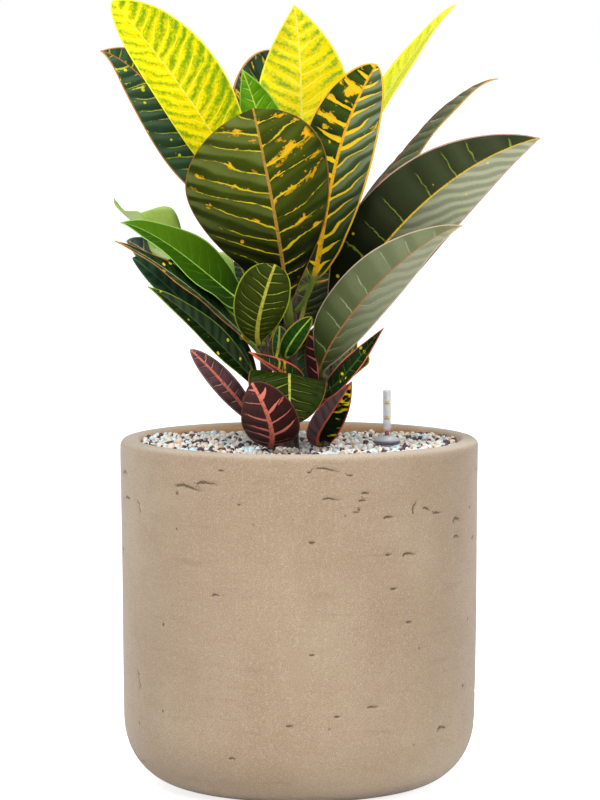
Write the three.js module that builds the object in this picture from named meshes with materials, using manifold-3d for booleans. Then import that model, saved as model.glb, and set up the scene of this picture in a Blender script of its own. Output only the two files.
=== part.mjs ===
// A potted croton: three leafy stems stand in a round clay-fibre pot that is filled with mineral granules,
// beside a water gauge whose float shows how much water is left in the pot.
// Millimetres, +Z up. The origin is the centre of the pot's flat underside, and the plant is seen from -Y.

import * as THREE from "three";
import { mergeVertices } from "three/addons/utils/BufferGeometryUtils.js";
import Module from "manifold-3d";

const wasm = await Module();
wasm.setup();

// Pot: a thick wall that leans out a little towards a rounded rim, over a softly rounded foot.
const potRimRadius = 100;
const potHeight = 195;
const potWall = 11.5;
const potFloor = 16;
const footHeight = 41;
const wallRadiusAtFoot = 98.4;
const wallBend = 1.3;
const footPower = 0.9;
const rimRound = 4;
const innerCorner = 26;
const potSides = 48;

// Granules: the fill stops under the rim, a little higher towards both sides, and stones stand out of its top.
const fillTop = 188;
const sideRise = 5;
const stoneRelief = 1.4;
const stoneSpacing = 6.2;

// Everything that stands in something else keeps this much room around it.
const seat = 0.3;

// Water gauge: a float housing stands in the granules, and a domed collar on it holds the clear sight tube.
const gaugeAt = [49, 2];
const housingRadius = 6.4;
const housingBore = 4.6;
const housingFoot = potFloor + 6;
const housingFloor = 3;
const inletRadius = 1.6;
const slotWidth = 1.6;
const slotHeight = 24;
const collarFoot = 191.5;
const collarRadius = 7.4;
const collarHeight = 4.6;
const collarBore = 1.6;
const spigotLength = 6;
const socketDepth = 3;
const sightRadius = 2.4;
const sightBore = 1.6;
const sightTop = 221.5;
const sightCrown = 1.2;
const floatRadius = 3.9;
const floatHeight = 26;
const rodRadius = 1;
const pointerRadius = 1.25;
const pointerHeight = 2.2;
const pointerTop = 198.4;
const gaugeSides = 16;

// Colour and roughness of each finish.
const finishes = {
  clay: [0xb9a288, 0.9],
  stones: [0xcabfb2, 0.95],
  bark: [0x3d2a22, 0.7],
  yellow: [0xe4d91c, 0.4],
  lime: [0x5c9a1c, 0.4],
  olive: [0x42521c, 0.4],
  dark: [0x233c26, 0.35],
  purple: [0x4b2a2c, 0.45],
  clear: [0xdfe4e6, 0.1],
  lilac: [0xb8b6c4, 0.35],
  red: [0xb23a22, 0.4],
};

// A stem runs from foot to head, both [x, y], between two heights, with a bow sideways and a radius at each end.
const stems = {
  main: { foot: [-4, 8], head: [-4, 7], from: 148, to: 304, bow: [-1, -3], radius: [5, 3.2] },
  left: { foot: [-17, -4], head: [-22, -7], from: 150, to: 279, bow: [2, 1], radius: [4.2, 2.8] },
  right: { foot: [11, 0], head: [13, -3], from: 150, to: 262, bow: [2, 1], radius: [4.2, 2.8] },
};

// The blade's outline: half its width is span * rise^p * fall^q, widest at p / (p + q) of its length.
const shapes = {
  round: [1.05, 0.42],
  full: [1.5, 0.8],
  spoon: [0.95, 0.55],
  oval: [0.8, 0.65],
  pointed: [1.1, 1],
  lance: [0.65, 0.95],
};

// Each leaf leaves its stem at a height and follows a cubic curve through way to its tip, in millimetres.
// up is where its upper side faces at the base and at the tip; half is the width on each side of the midrib,
// and shape is the outline of both sides, or one for each; fold is how far each side stands up towards the
// upper side, and curl how far it goes on turning, in degrees; wave is the height, count and start of the
// waves along its edge; stalk is the bare share of its length.
const leaves = {
  main: [
    { at: 293, finish: "yellow", shape: ["oval", "full"], stalk: 0.1, half: [25, 25.5], fold: [27, 26], curl: [0, 6],
      way: [[-16, 4, 316], [-63, -2, 393], [-104, 4, 438]], up: [[0.4, -0.9, 0.25], [0.4, -0.9, 0.25]],
      wave: [1.5, 1.6, 0.2] },
    { at: 297, finish: "dark", shape: "pointed", stalk: 0.08, half: [23, 25], fold: [10, 25], curl: [5, 5],
      way: [[-42, 25, 327], [-79, 34, 402], [-112, 40, 410]], up: [[0, -0.95, 0.3], [0.1, -0.8, 0.6]],
      wave: [1.5, 2, 0] },
    { at: 298, finish: "dark", shape: "round", stalk: 0.12, half: [22, 24], fold: [8, 8], curl: [5, 5],
      way: [[-17, 40, 343], [-25, 58, 382], [-8, 66, 407]], up: [[0, -1, 0.3], [0, -1, 0.3]],
      wave: [1, 2, 0] },
    { at: 300, finish: "yellow", shape: "pointed", stalk: 0.1, half: [26, 29], fold: [10, 10], curl: [4, 4],
      way: [[1, 30, 332], [4, 44, 395], [-3, 40, 436]], up: [[0, -1, 0.2], [0, -1, 0.2]],
      wave: [2, 2, 0.3] },
    { at: 301, finish: "lime", shape: "pointed", stalk: 0.1, half: [13, 15], fold: [15, 15], curl: [4, 4],
      way: [[-11, 12, 333], [-21, 16, 373], [-32, 18, 400]], up: [[0.1, -1, 0.1], [0.1, -1, 0.1]],
      wave: [0.6, 2, 0] },
    { at: 266, finish: "olive", shape: "oval", stalk: 0.16, half: [22, 22], fold: [15, 28], curl: [5, 5],
      way: [[18, -20, 285], [8, -22, 350], [43, -4, 403]], up: [[0, -1, 0.05], [0, -1, 0.05]],
      wave: [1.5, 2, 0] },
    { at: 258, finish: "olive", shape: ["round", "spoon"], stalk: 0.16, half: [35, 47], fold: [8, 8], curl: [14, 14],
      way: [[-7, -42, 289], [-15, -88, 337], [-25, -65, 380]], up: [[0, 0.5, 0.85], [0, 0.9, -0.45]],
      wave: [1.5, 1.5, 0] },
    { at: 294, finish: "yellow", shape: "oval", stalk: 0.12, half: [13, 20], fold: [10, 10], curl: [4, 4],
      way: [[17, 30, 327], [54, 40, 404], [88, 40, 436]], up: [[-0.7, -0.45, 0.55], [-0.8, -0.25, 0.55]],
      wave: [0.6, 2, 0] },
    { at: 282, finish: "dark", shape: "lance", stalk: 0.1, half: [16, 20], fold: [-8, -8], curl: [-4, -4],
      way: [[25, 44, 299], [76, 60, 392], [113, 62, 394]], up: [[-0.7, -0.2, 0.68], [-0.7, -0.2, 0.68]],
      wave: [0.6, 3, 0] },
    { at: 240, finish: "dark", shape: "oval", stalk: 0.1, half: [6, 6], fold: [15, 15], curl: [0, 0],
      way: [[-10, -12, 240], [-6, -18, 250], [7, -20, 264]], up: [[0, -1, 0.2], [0, -1, 0.2]],
      wave: [0.3, 2, 0] },
    { at: 205, finish: "olive", shape: "spoon", stalk: 0.1, half: [21, 23], fold: [-4, -12], curl: [-4, -8],
      way: [[-5, -24, 223], [-6, -46, 259], [-5, -42, 206]], up: [[0.1, 0, 1], [0.1, -1, 0.2]],
      wave: [0.8, 1.5, 0] },
    { at: 222, finish: "dark", shape: "lance", stalk: 0.1, half: [3, 7], fold: [5, 5], curl: [4, 4],
      way: [[6, -16, 224], [-4, -27, 231], [-28, -26, 245]], up: [[0.3, -0.9, 0.2], [0.3, -0.9, 0.2]],
      wave: [0.4, 1.5, 0] },
    { at: 288, finish: "olive", shape: "oval", stalk: 0.12, half: [26, 26], fold: [12, 12], curl: [6, 6],
      way: [[-8, 45, 315], [-12, 85, 352], [-15, 110, 372]], up: [[0, -0.5, 0.85], [0, -0.5, 0.85]],
      wave: [1.5, 2, 0] },
    { at: 276, finish: "dark", shape: "oval", stalk: 0.12, half: [20, 20], fold: [12, 12], curl: [6, 6],
      way: [[22, 40, 288], [46, 76, 312], [58, 98, 322]], up: [[0, -0.4, 0.9], [0, -0.4, 0.9]],
      wave: [1, 2, 0] },
    { at: 268, finish: "dark", shape: "oval", stalk: 0.12, half: [20, 20], fold: [12, 12], curl: [6, 6],
      way: [[-24, 42, 300], [-44, 80, 330], [-55, 108, 345]], up: [[0, -0.4, 0.9], [0, -0.4, 0.9]],
      wave: [1, 2, 0] },
    { at: 245, finish: "olive", shape: "oval", stalk: 0.12, half: [19, 19], fold: [12, 12], curl: [6, 6],
      way: [[4, 45, 262], [7, 85, 285], [10, 112, 290]], up: [[0, -0.3, 0.95], [0, -0.3, 0.95]],
      wave: [1, 2, 0] },
    { at: 205, finish: "dark", shape: "oval", stalk: 0.1, half: [12, 12], fold: [10, 10], curl: [4, 4],
      way: [[-1, 28, 216], [-6, 50, 242], [-9, 60, 267]], up: [[0, -0.4, 0.9], [0, -0.4, 0.9]],
      wave: [0.5, 2, 0] },
  ],
  left: [
    { at: 266, finish: "lime", shape: "lance", stalk: 0.08, half: [19, 15], fold: [20, 20], curl: [6, 6],
      way: [[-43, -9, 277], [-72, -12, 310], [-99, -16, 316]], up: [[0, -0.6, 0.8], [0, -0.6, 0.8]],
      wave: [1, 2, 0] },
    { at: 266, finish: "lime", shape: "pointed", stalk: 0.1, half: [6, 13], fold: [20, 25], curl: [6, 6],
      way: [[-45, 14, 288], [-106, 18, 317], [-103.5, 14, 328]], up: [[0, -0.5, 0.85], [0, -0.5, 0.85]],
      wave: [10, 2.1, 0.52] },
    { at: 254, finish: "lime", shape: "oval", stalk: 0.1, half: [10, 10], fold: [15, 15], curl: [4, 4],
      way: [[-33, -5, 259], [-52, -6, 278], [-70, -6, 293]], up: [[0, -0.6, 0.8], [0, -0.6, 0.8]],
      wave: [0.5, 2, 0] },
    { at: 243, finish: "dark", shape: "lance", stalk: 0.08, half: [8, 9], fold: [10, 10], curl: [4, 4],
      way: [[-41, -24, 266], [-77, -33, 297], [-101, -40, 307]], up: [[0, -0.45, 0.9], [0, -0.45, 0.9]],
      wave: [0.5, 3, 0] },
    { at: 246, finish: "dark", shape: "oval", stalk: 0.1, half: [13, 14], fold: [10, 10], curl: [4, 4],
      way: [[-45, 14, 258], [-78, 22, 296], [-97, 20, 304]], up: [[0, -0.7, 0.7], [0, -0.7, 0.7]],
      wave: [0.5, 2, 0] },
    { at: 228, finish: "dark", shape: "oval", stalk: 0.08, half: [8, 14], fold: [10, 10], curl: [4, 4],
      way: [[-38, -18, 245], [-70, -24, 281], [-92, -24, 297]], up: [[0, -0.8, 0.6], [0, -0.8, 0.6]],
      wave: [0.6, 2, 0] },
    { at: 222, finish: "dark", shape: "lance", stalk: 0.08, half: [9, 8], fold: [12, 12], curl: [4, 4],
      way: [[-33, -28, 238], [-60, -41, 270], [-83, -40, 282]], up: [[0, -0.7, 0.7], [0, -0.7, 0.7]],
      wave: [0.4, 2, 0] },
    { at: 248, finish: "olive", shape: "round", stalk: 0.18, half: [14, 16], fold: [6, 6], curl: [8, 8],
      way: [[-26, -45, 249], [-23, -80, 270], [-13, -70, 296]], up: [[0, 0.5, 0.85], [0, 0.9, -0.3]],
      wave: [0.5, 2, 0] },
    { at: 236, finish: "dark", shape: "oval", stalk: 0.1, half: [4, 6], fold: [10, 10], curl: [0, 0],
      way: [[-12, -4, 240], [-11, -5, 250], [-11, -5, 258]], up: [[0, -1, 0.2], [0, -1, 0.2]],
      wave: [0, 1, 0] },
    { at: 198, finish: "purple", shape: "oval", stalk: 0.1, half: [7, 7], fold: [15, 15], curl: [4, 4],
      way: [[-30, -20, 214], [-47, -30, 235], [-60, -34, 247]], up: [[0, -1, 0.2], [0, -1, 0.2]],
      wave: [0.4, 2, 0] },
    { at: 191.5, finish: "purple", shape: "oval", stalk: 0.06, half: [16, 16], fold: [6, 6], curl: [6, 6],
      way: [[-15, -34, 192], [-11, -58, 206], [-26, -60, 231]], up: [[0, 0.3, 0.95], [0, 0.95, 0.1]],
      wave: [0.4, 2, 0] },
    { at: 238, finish: "dark", shape: "oval", stalk: 0.1, half: [14, 14], fold: [12, 12], curl: [4, 4],
      way: [[-24, 35, 256], [-28, 70, 278], [-36, 96, 288]], up: [[0, -0.4, 0.9], [0, -0.4, 0.9]],
      wave: [0.6, 2, 0] },
    { at: 222, finish: "dark", shape: "oval", stalk: 0.1, half: [10, 10], fold: [10, 10], curl: [4, 4],
      way: [[-33, 14, 239], [-46, 30, 252], [-58, 44, 264]], up: [[0, -0.4, 0.9], [0, -0.4, 0.9]],
      wave: [0.5, 2, 0] },
  ],
  right: [
    { at: 247, finish: "dark", shape: "lance", stalk: 0.1, half: [26, 34], fold: [15, 15], curl: [5, 5],
      way: [[20, -14, 272], [66, -40, 347], [132, -30, 363]], up: [[-0.25, -0.85, 0.45], [-0.25, -0.85, 0.45]],
      wave: [0.6, 2, 0] },
    { at: 230, finish: "dark", shape: ["lance", "pointed"], stalk: 0.05, half: [19, 21], fold: [12, 12], curl: [4, 4],
      way: [[7, -36, 246], [56, -62, 308], [88, -70, 317]], up: [[-0.4, -0.85, 0.3], [-0.1, -0.7, 0.7]],
      wave: [0.5, 2, 0] },
    { at: 223, finish: "dark", shape: "lance", stalk: 0.1, half: [7, 8], fold: [20, 20], curl: [4, 4],
      way: [[14, -40, 218], [32, -50, 242], [46, -50, 260]], up: [[-0.45, -0.8, 0.4], [-0.45, -0.8, 0.4]],
      wave: [0.4, 2, 0] },
    { at: 191.5, finish: "dark", shape: "lance", stalk: 0.04, half: [9, 11], fold: [30, 25], curl: [4, 4],
      way: [[6, -14, 196], [19, -19, 210], [29, -20, 228]], up: [[0, -1, 0.2], [0, -1, 0.2]],
      wave: [0.4, 2, 0] },
    { at: 212, finish: "dark", shape: "oval", stalk: 0.1, half: [8, 4], fold: [10, 10], curl: [0, 0],
      way: [[24, -6, 226], [26, -11, 238], [32, -13, 250]], up: [[-0.2, -0.9, 0.4], [-0.2, -0.9, 0.4]],
      wave: [0.4, 2, 0] },
    { at: 236, finish: "dark", shape: "oval", stalk: 0.1, half: [14, 14], fold: [12, 12], curl: [4, 4],
      way: [[24, 30, 250], [34, 58, 268], [42, 82, 276]], up: [[0, -0.4, 0.9], [0, -0.4, 0.9]],
      wave: [0.5, 2, 0] },
    { at: 222, finish: "dark", shape: "oval", stalk: 0.1, half: [9, 9], fold: [12, 12], curl: [4, 4],
      way: [[23, 12, 228], [31, 24, 233], [36, 38, 239]], up: [[0, -0.4, 0.9], [0, -0.4, 0.9]],
      wave: [0.5, 2, 0] },
    { at: 204, finish: "dark", shape: "oval", stalk: 0.1, half: [8, 8], fold: [12, 12], curl: [4, 4],
      way: [[15, 16, 214], [10, 29, 232], [8, 34, 254]], up: [[0, -0.4, 0.9], [0, -0.4, 0.9]],
      wave: [0.3, 2, 0] },
  ],
};

// Leaf skin: stalk and blade are one loft, whose section goes from a round stalk to a thin folded blade.
const bladeThickness = 0.8;
const ribDepth = 0.9;
const tipHalfWidth = 0.7;
const stalkEase = 0.12;
const foldEase = 0.25;

const lerp = THREE.MathUtils.lerp;
const radians = THREE.MathUtils.degToRad;
const ease = (low, high, x) => THREE.MathUtils.smoothstep(x, low, high);

// Joins vertices that share a place and drops the triangles that this closes up, such as those at a pole.
function weld(geometry) {
  const bare = new THREE.BufferGeometry().setAttribute("position", geometry.getAttribute("position"));
  bare.setIndex(geometry.index);
  const welded = mergeVertices(bare, 1e-4);
  const old = welded.index.array;
  const faces = [];
  for (let i = 0; i < old.length; i += 3) {
    const [a, b, c] = [old[i], old[i + 1], old[i + 2]];
    if (a !== b && b !== c && c !== a) faces.push(a, b, c);
  }
  return welded.setIndex(faces);
}

// A profile of [radius, z] points turned about the z axis. It starts and ends on the axis, or closes on itself.
function revolve(profile, sides) {
  const points = profile.map(([r, z]) => new THREE.Vector2(r, z));
  return weld(new THREE.LatheGeometry(points, sides).rotateX(Math.PI / 2));
}

// A closed solid lofted through rings of points, all with the same even count. Each ring runs out along its
// upper side and back along its underside, and both sides are split along the same diagonals.
function loft(rings) {
  const count = rings[0].length;
  const side = count / 2;
  const faces = [];
  for (let i = 0; i < rings.length - 1; i++) {
    for (let k = 0; k < count; k++) {
      const [a, b] = [i * count + k, i * count + ((k + 1) % count)];
      const [c, d] = [a + count, b + count];
      if (k < side) faces.push(a, b, d, a, d, c);
      else faces.push(a, b, c, b, d, c);
    }
  }
  const last = (rings.length - 1) * count;
  for (let k = 0; k < side - 1; k++) {
    const [a, b] = [k, k + 1];
    const [c, d] = [count - 1 - k, count - 2 - k];
    faces.push(a, d, b, a, c, d);
    faces.push(last + a, last + b, last + d, last + a, last + d, last + c);
  }
  const positions = rings.flat().flatMap((point) => point.toArray());
  return new THREE.BufferGeometry()
    .setAttribute("position", new THREE.Float32BufferAttribute(positions, 3))
    .setIndex(faces);
}

function asSolid(geometry) {
  const { attributes, index } = weld(geometry);
  return new wasm.Manifold(new wasm.Mesh({
    numProp: 3,
    vertProperties: new Float32Array(attributes.position.array),
    triVerts: new Uint32Array(index.array),
  }));
}

function cut(geometry, tools) {
  const rest = tools.reduce((solid, tool) => solid.subtract(asSolid(tool)), asSolid(geometry));
  const { vertProperties, triVerts } = rest.getMesh();
  return new THREE.BufferGeometry()
    .setAttribute("position", new THREE.BufferAttribute(vertProperties, 3))
    .setIndex(new THREE.BufferAttribute(triVerts, 1));
}

// A stream of numbers from 0 to 1 that is the same on every run.
function seeded(seed) {
  let state = seed;
  return () => {
    state = (state + 0x6d2b79f5) | 0;
    let mixed = Math.imul(state ^ (state >>> 15), 1 | state);
    mixed = (mixed + Math.imul(mixed ^ (mixed >>> 7), 61 | mixed)) ^ mixed;
    return ((mixed ^ (mixed >>> 14)) >>> 0) / 4294967296;
  };
}

// Outer radius of the pot's wall at height z above its rounded foot.
function wallRadius(z) {
  const down = (potHeight - z) / (potHeight - footHeight);
  return potRimRadius + (wallRadiusAtFoot - potRimRadius) * down ** wallBend;
}

// The inner face of the pot from the middle of its floor up to a height, set in by a gap.
function innerFace(top, gap) {
  const floor = potFloor + gap;
  const profile = [[0, floor]];
  const corner = wallRadius(footHeight) - potWall - innerCorner;
  for (let i = 0; i <= 4; i++) {
    const angle = (i / 4) * 0.5 * Math.PI;
    profile.push([
      corner + (innerCorner - gap) * Math.sin(angle),
      floor + (innerCorner - gap) * (1 - Math.cos(angle)),
    ]);
  }
  profile.push([wallRadius(0.5 * (footHeight + top)) - potWall - gap, 0.5 * (footHeight + top)]);
  profile.push([wallRadius(top) - potWall - gap, top]);
  return profile;
}

function potGeometry() {
  const profile = [[0, 0]];
  for (let i = 0; i <= 7; i++) {
    const angle = (i / 7) * 0.5 * Math.PI;
    profile.push([
      wallRadiusAtFoot - footHeight * (1 - Math.sin(angle) ** footPower),
      footHeight * (1 - Math.cos(angle) ** footPower),
    ]);
  }
  for (const share of [0.35, 0.7]) {
    const z = lerp(footHeight, potHeight, share);
    profile.push([wallRadius(z), z]);
  }
  const inside = innerFace(potHeight - rimRound, 0);
  const rimOuter = wallRadius(potHeight - rimRound);
  const rimInner = inside.at(-1)[0];
  for (const angle of [0, 30, 60, 90].map(radians)) {
    profile.push([
      rimOuter - rimRound * (1 - Math.cos(angle)),
      potHeight - rimRound * (1 - Math.sin(angle)),
    ]);
  }
  for (const angle of [90, 60, 30].map(radians)) {
    profile.push([
      rimInner + rimRound * (1 - Math.cos(angle)),
      potHeight - rimRound * (1 - Math.sin(angle)),
    ]);
  }
  return revolve([...profile, ...inside.reverse()], potSides);
}

// The hole that a stem stands in: the stem's own course, wider by the seat and open above the granules.
function stemHole(stem) {
  return stemGeometry({ ...stem, radius: stem.radius.map((r) => r + seat) }, stem.from - seat, potHeight);
}

// The fill follows the pot's inner face. Its top is a net of rings turned against each other, and each corner
// of the net stands up or down by chance, as the stones do.
function granulesGeometry() {
  const profile = innerFace(fillTop, seat);
  const edge = profile.at(-1)[0];
  const rings = Math.round(edge / stoneSpacing);
  for (let i = rings - 1; i >= 0; i--) profile.push([(edge * i) / rings, fillTop]);
  const geometry = revolve(profile, potSides);
  const random = seeded(7);
  const position = geometry.getAttribute("position");
  for (let i = 0; i < position.count; i++) {
    if (position.getZ(i) < fillTop - 0.01) continue;
    const point = new THREE.Vector3().fromBufferAttribute(position, i);
    const ring = Math.round((Math.hypot(point.x, point.y) / edge) * rings);
    if (ring < rings && ring % 2) point.applyAxisAngle(new THREE.Vector3(0, 0, 1), Math.PI / potSides);
    point.z += sideRise * (point.x / edge) ** 2 + stoneRelief * (2 * random() - 1);
    position.setXYZ(i, ...point.toArray());
  }
  const housingHole = revolve([
    [0, housingFoot - seat],
    [housingRadius + seat, housingFoot - seat],
    [housingRadius + seat, potHeight],
    [0, potHeight],
  ], gaugeSides).translate(...gaugeAt, 0);
  return cut(geometry, [...Object.values(stems).map(stemHole), housingHole]);
}

function stemAt(stem, z) {
  const u = THREE.MathUtils.clamp((z - stem.from) / (stem.to - stem.from), 0, 1);
  const bow = Math.sin(Math.PI * u);
  return {
    x: lerp(stem.foot[0], stem.head[0], u) + stem.bow[0] * bow,
    y: lerp(stem.foot[1], stem.head[1], u) + stem.bow[1] * bow,
    radius: lerp(stem.radius[0], stem.radius[1], u),
  };
}

function stemGeometry(stem, from = stem.from, to = stem.to) {
  const rows = 9;
  const sides = 12;
  const rings = Array.from({ length: rows + 1 }, (_, i) => {
    const z = lerp(from, to, i / rows);
    const { x, y, radius } = stemAt(stem, z);
    return Array.from({ length: sides }, (_, k) => {
      const angle = Math.PI + (2 * Math.PI * (k + 0.5)) / sides;
      return new THREE.Vector3(x + radius * Math.cos(angle), y + radius * Math.sin(angle), z);
    });
  });
  return loft(rings);
}

function leafGeometry(stemName, leaf) {
  const broad = Math.max(...leaf.half) > 15;
  const columns = broad ? 6 : 4;
  const rows = broad ? 12 : 9;
  const stalkRadius = 0.9 + 0.025 * Math.max(...leaf.half);
  const curve = leafCurve(stems[stemName], leaf, stalkRadius);
  const [upBase, upTip] = leaf.up.map((v) => new THREE.Vector3(...v).normalize());
  const rings = Array.from({ length: rows + 1 }, (_, i) => {
    const u = 0.35 * Math.sin((0.5 * Math.PI * i) / rows) + 0.65 * (i / rows);
    const along = curve.getTangentAt(u);
    const up = upBase.clone().lerp(upTip, u);
    up.addScaledVector(along, -up.dot(along)).normalize();
    const frame = { centre: curve.getPointAt(u), up, across: along.cross(up) };
    return leafRing(leaf, frame, u, columns, stalkRadius);
  });
  return loft(rings);
}

// The midrib starts just clear of the stem, on the side where its first way point lies.
function leafCurve(stem, leaf, stalkRadius) {
  const { x, y, radius } = stemAt(stem, leaf.at);
  const [first, second, tip] = leaf.way.map((p) => new THREE.Vector3(...p));
  const root = new THREE.Vector3(x, y, leaf.at);
  const out = first.clone().sub(root);
  const steepness = Math.abs(out.z) / out.length();
  root.addScaledVector(out.setZ(0).normalize(), radius + seat + stalkRadius * steepness);
  return new THREE.CubicBezierCurve3(root, first, second, tip);
}

// One ring of the leaf at share u of its length: the upper side from left to right, then the underside back.
function leafRing(leaf, { centre, up, across }, u, columns, stalkRadius) {
  const shape = [leaf.shape].flat();
  const b = THREE.MathUtils.clamp((u - leaf.stalk) / (1 - leaf.stalk), 0, 1);
  const bare = 1 - ease(0, stalkEase, b);
  const [height, count, start] = leaf.wave;
  const top = [];
  const under = [];
  for (let j = 0; j <= columns; j++) {
    const s = (2 * j) / columns - 1;
    const hand = s < 0 ? 0 : 1;
    const sign = hand ? 1 : -1;
    const [p, q] = shapes[shape.at(-hand)];
    const widest = p / (p + q);
    const outline = (b / widest) ** p * ((1 - b) / (1 - widest)) ** q;
    const reach = Math.abs(s) * Math.max(stalkRadius * bare + leaf.half[hand] * outline, tipHalfWidth);
    const fold = radians(leaf.fold[hand]) * ease(0, foldEase, b);
    const curl = radians(leaf.curl[hand]) * ease(0, foldEase, b) * Math.abs(s);
    const lean = fold + 0.5 * curl;
    const chord = curl ? reach * Math.sin(0.5 * curl) / (0.5 * curl) : reach;
    const ripple = height * s * s * Math.sin(2 * Math.PI * (count * b + start + 0.3 * hand));
    const point = centre
      .clone()
      .addScaledVector(across, sign * chord * Math.cos(lean))
      .addScaledVector(up, chord * Math.sin(lean) + ripple * ease(0, 0.2, b) * (1 - ease(0.8, 1, b)));
    const tilt = s ? fold + curl : 0;
    const normal = up.clone().multiplyScalar(Math.cos(tilt)).addScaledVector(across, -sign * Math.sin(tilt));
    const stalkThickness = 2 * stalkRadius * Math.sqrt(1 - 0.85 * s * s);
    const thickness = lerp(bladeThickness, stalkThickness, bare);
    const rib = s ? 0 : ribDepth * (1 - bare) * (1 - b);
    top.push(point.clone().addScaledVector(normal, 0.5 * thickness));
    under.unshift(point.clone().addScaledVector(normal, -0.5 * thickness - rib));
  }
  return [...top, ...under];
}

function housingGeometry() {
  const top = collarFoot - seat;
  const tube = revolve([
    [inletRadius, housingFoot],
    [housingRadius, housingFoot],
    [housingRadius, top],
    [housingBore, top],
    [housingBore, housingFoot + housingFloor],
    [inletRadius, housingFoot + housingFloor],
    [inletRadius, housingFoot],
  ], gaugeSides);
  const slots = [0, 0.5 * Math.PI].map((turn) =>
    new THREE.BoxGeometry(3 * housingRadius, slotWidth, slotHeight)
      .rotateZ(turn)
      .translate(0, 0, housingFoot + 2 * housingFloor + 0.5 * slotHeight));
  return cut(tube, slots);
}

function collarGeometry() {
  const socket = sightRadius + seat;
  const spigot = housingBore - seat;
  const dome = [0, 20, 40, 60].map(radians).map((angle) => [
    socket + (collarRadius - socket) * Math.cos(angle) ** 1.5,
    collarFoot + 1 + (collarHeight - 1) * Math.sin(angle),
  ]);
  return revolve([
    [collarBore, collarFoot - spigotLength],
    [spigot, collarFoot - spigotLength],
    [spigot, collarFoot],
    [collarRadius, collarFoot],
    ...dome,
    [socket + 0.4, collarFoot + collarHeight],
    [socket, collarFoot + collarHeight],
    [socket, collarFoot + collarHeight - socketDepth],
    [collarBore, collarFoot + collarHeight - socketDepth],
    [collarBore, collarFoot - spigotLength],
  ], gaugeSides);
}

function sightTubeGeometry() {
  const foot = collarFoot + collarHeight - socketDepth + seat;
  return revolve([
    [sightBore, foot],
    [sightRadius, foot],
    [sightRadius, sightTop - 0.5],
    [sightRadius - 0.5, sightTop],
    [0, sightTop],
    [0, sightTop - sightCrown],
    [sightBore, sightTop - sightCrown],
    [sightBore, foot],
  ], gaugeSides);
}

function floatGeometry() {
  const foot = housingFoot + housingFloor + seat;
  return revolve([
    [0, foot],
    [floatRadius, foot],
    [floatRadius, foot + floatHeight],
    [rodRadius, foot + floatHeight],
    [rodRadius, pointerTop - pointerHeight],
    [pointerRadius, pointerTop - pointerHeight],
    [pointerRadius, pointerTop],
    [0, pointerTop],
  ], gaugeSides);
}

const croton = new THREE.Group();

function add(parent, name, geometry, finish) {
  const [color, roughness] = finishes[finish];
  const mesh = new THREE.Mesh(geometry, new THREE.MeshStandardMaterial({ color, roughness, metalness: 0 }));
  mesh.name = name;
  parent.add(mesh);
}

add(croton, "pot", potGeometry(), "clay");
add(croton, "granules", granulesGeometry(), "stones");

for (const [name, stem] of Object.entries(stems)) {
  add(croton, "stem_" + name, stemGeometry(stem), "bark");
  leaves[name].forEach((leaf, i) => {
    const number = String(i + 1).padStart(2, "0");
    add(croton, "leaf_" + name + "_" + number, leafGeometry(name, leaf), leaf.finish);
  });
}

const gauge = new THREE.Group();
gauge.position.set(...gaugeAt, 0);
add(gauge, "gauge_housing", housingGeometry(), "lilac");
add(gauge, "gauge_collar", collarGeometry(), "lilac");
add(gauge, "gauge_sight_tube", sightTubeGeometry(), "clear");
add(gauge, "gauge_float", floatGeometry(), "red");
croton.add(gauge);

export default croton;
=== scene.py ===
import math

import bpy
import numpy as np
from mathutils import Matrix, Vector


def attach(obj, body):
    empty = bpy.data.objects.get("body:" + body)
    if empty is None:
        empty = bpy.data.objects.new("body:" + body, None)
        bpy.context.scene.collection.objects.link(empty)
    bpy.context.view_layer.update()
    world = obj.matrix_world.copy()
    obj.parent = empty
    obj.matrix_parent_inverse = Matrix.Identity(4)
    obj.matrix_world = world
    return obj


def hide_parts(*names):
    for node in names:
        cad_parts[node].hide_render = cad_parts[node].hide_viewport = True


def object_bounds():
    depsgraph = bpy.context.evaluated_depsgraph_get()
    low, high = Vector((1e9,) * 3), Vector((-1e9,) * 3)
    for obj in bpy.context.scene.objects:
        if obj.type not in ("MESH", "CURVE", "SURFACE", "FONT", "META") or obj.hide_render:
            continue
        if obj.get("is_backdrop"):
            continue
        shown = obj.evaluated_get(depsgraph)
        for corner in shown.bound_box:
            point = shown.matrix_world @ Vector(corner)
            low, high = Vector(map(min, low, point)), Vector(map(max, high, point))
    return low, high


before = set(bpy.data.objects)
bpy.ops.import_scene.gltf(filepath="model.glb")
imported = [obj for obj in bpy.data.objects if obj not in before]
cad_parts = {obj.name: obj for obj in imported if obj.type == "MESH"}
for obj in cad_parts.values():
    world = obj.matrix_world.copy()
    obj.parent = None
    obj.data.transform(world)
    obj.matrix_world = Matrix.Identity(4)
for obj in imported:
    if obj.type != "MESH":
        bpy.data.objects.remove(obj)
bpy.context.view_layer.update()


# The planter: one thick vessel of clay mixed with fibre, pressed in a round mould and rubbed with a thin
# wash. The wall leans out a little to a soft rim. Bubbles and folds in the wet clay left pits and creases.
mm = 0.001
quarter_turn = 0.5 * np.pi
pot_rim_radius = 100.0
pot_height = 195.0
pot_wall = 11.5
pot_floor = 16.0
foot_height = 41.0
foot_radius = 98.4
wall_bend = 1.3
foot_power = 0.9
rim_round = 4.0
rim_start = pot_height - rim_round
inner_corner = 26.0
pot_columns = 336
foot_rows, wall_rows, rim_rows, face_rows, corner_rows = 40, 206, 9, 20, 10
clay = "9f886f"
clay_pale = "a8947b"
clay_rim_highlight = "b7a995"
clay_inside_shade_tone = "d8a678"
clay_wiped = "7b6850"
clay_pit_shade = "54412d"
sand_pale = "cfc2ad"
sand_dark = "756149"
sand_fleck = "dccfba"
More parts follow.
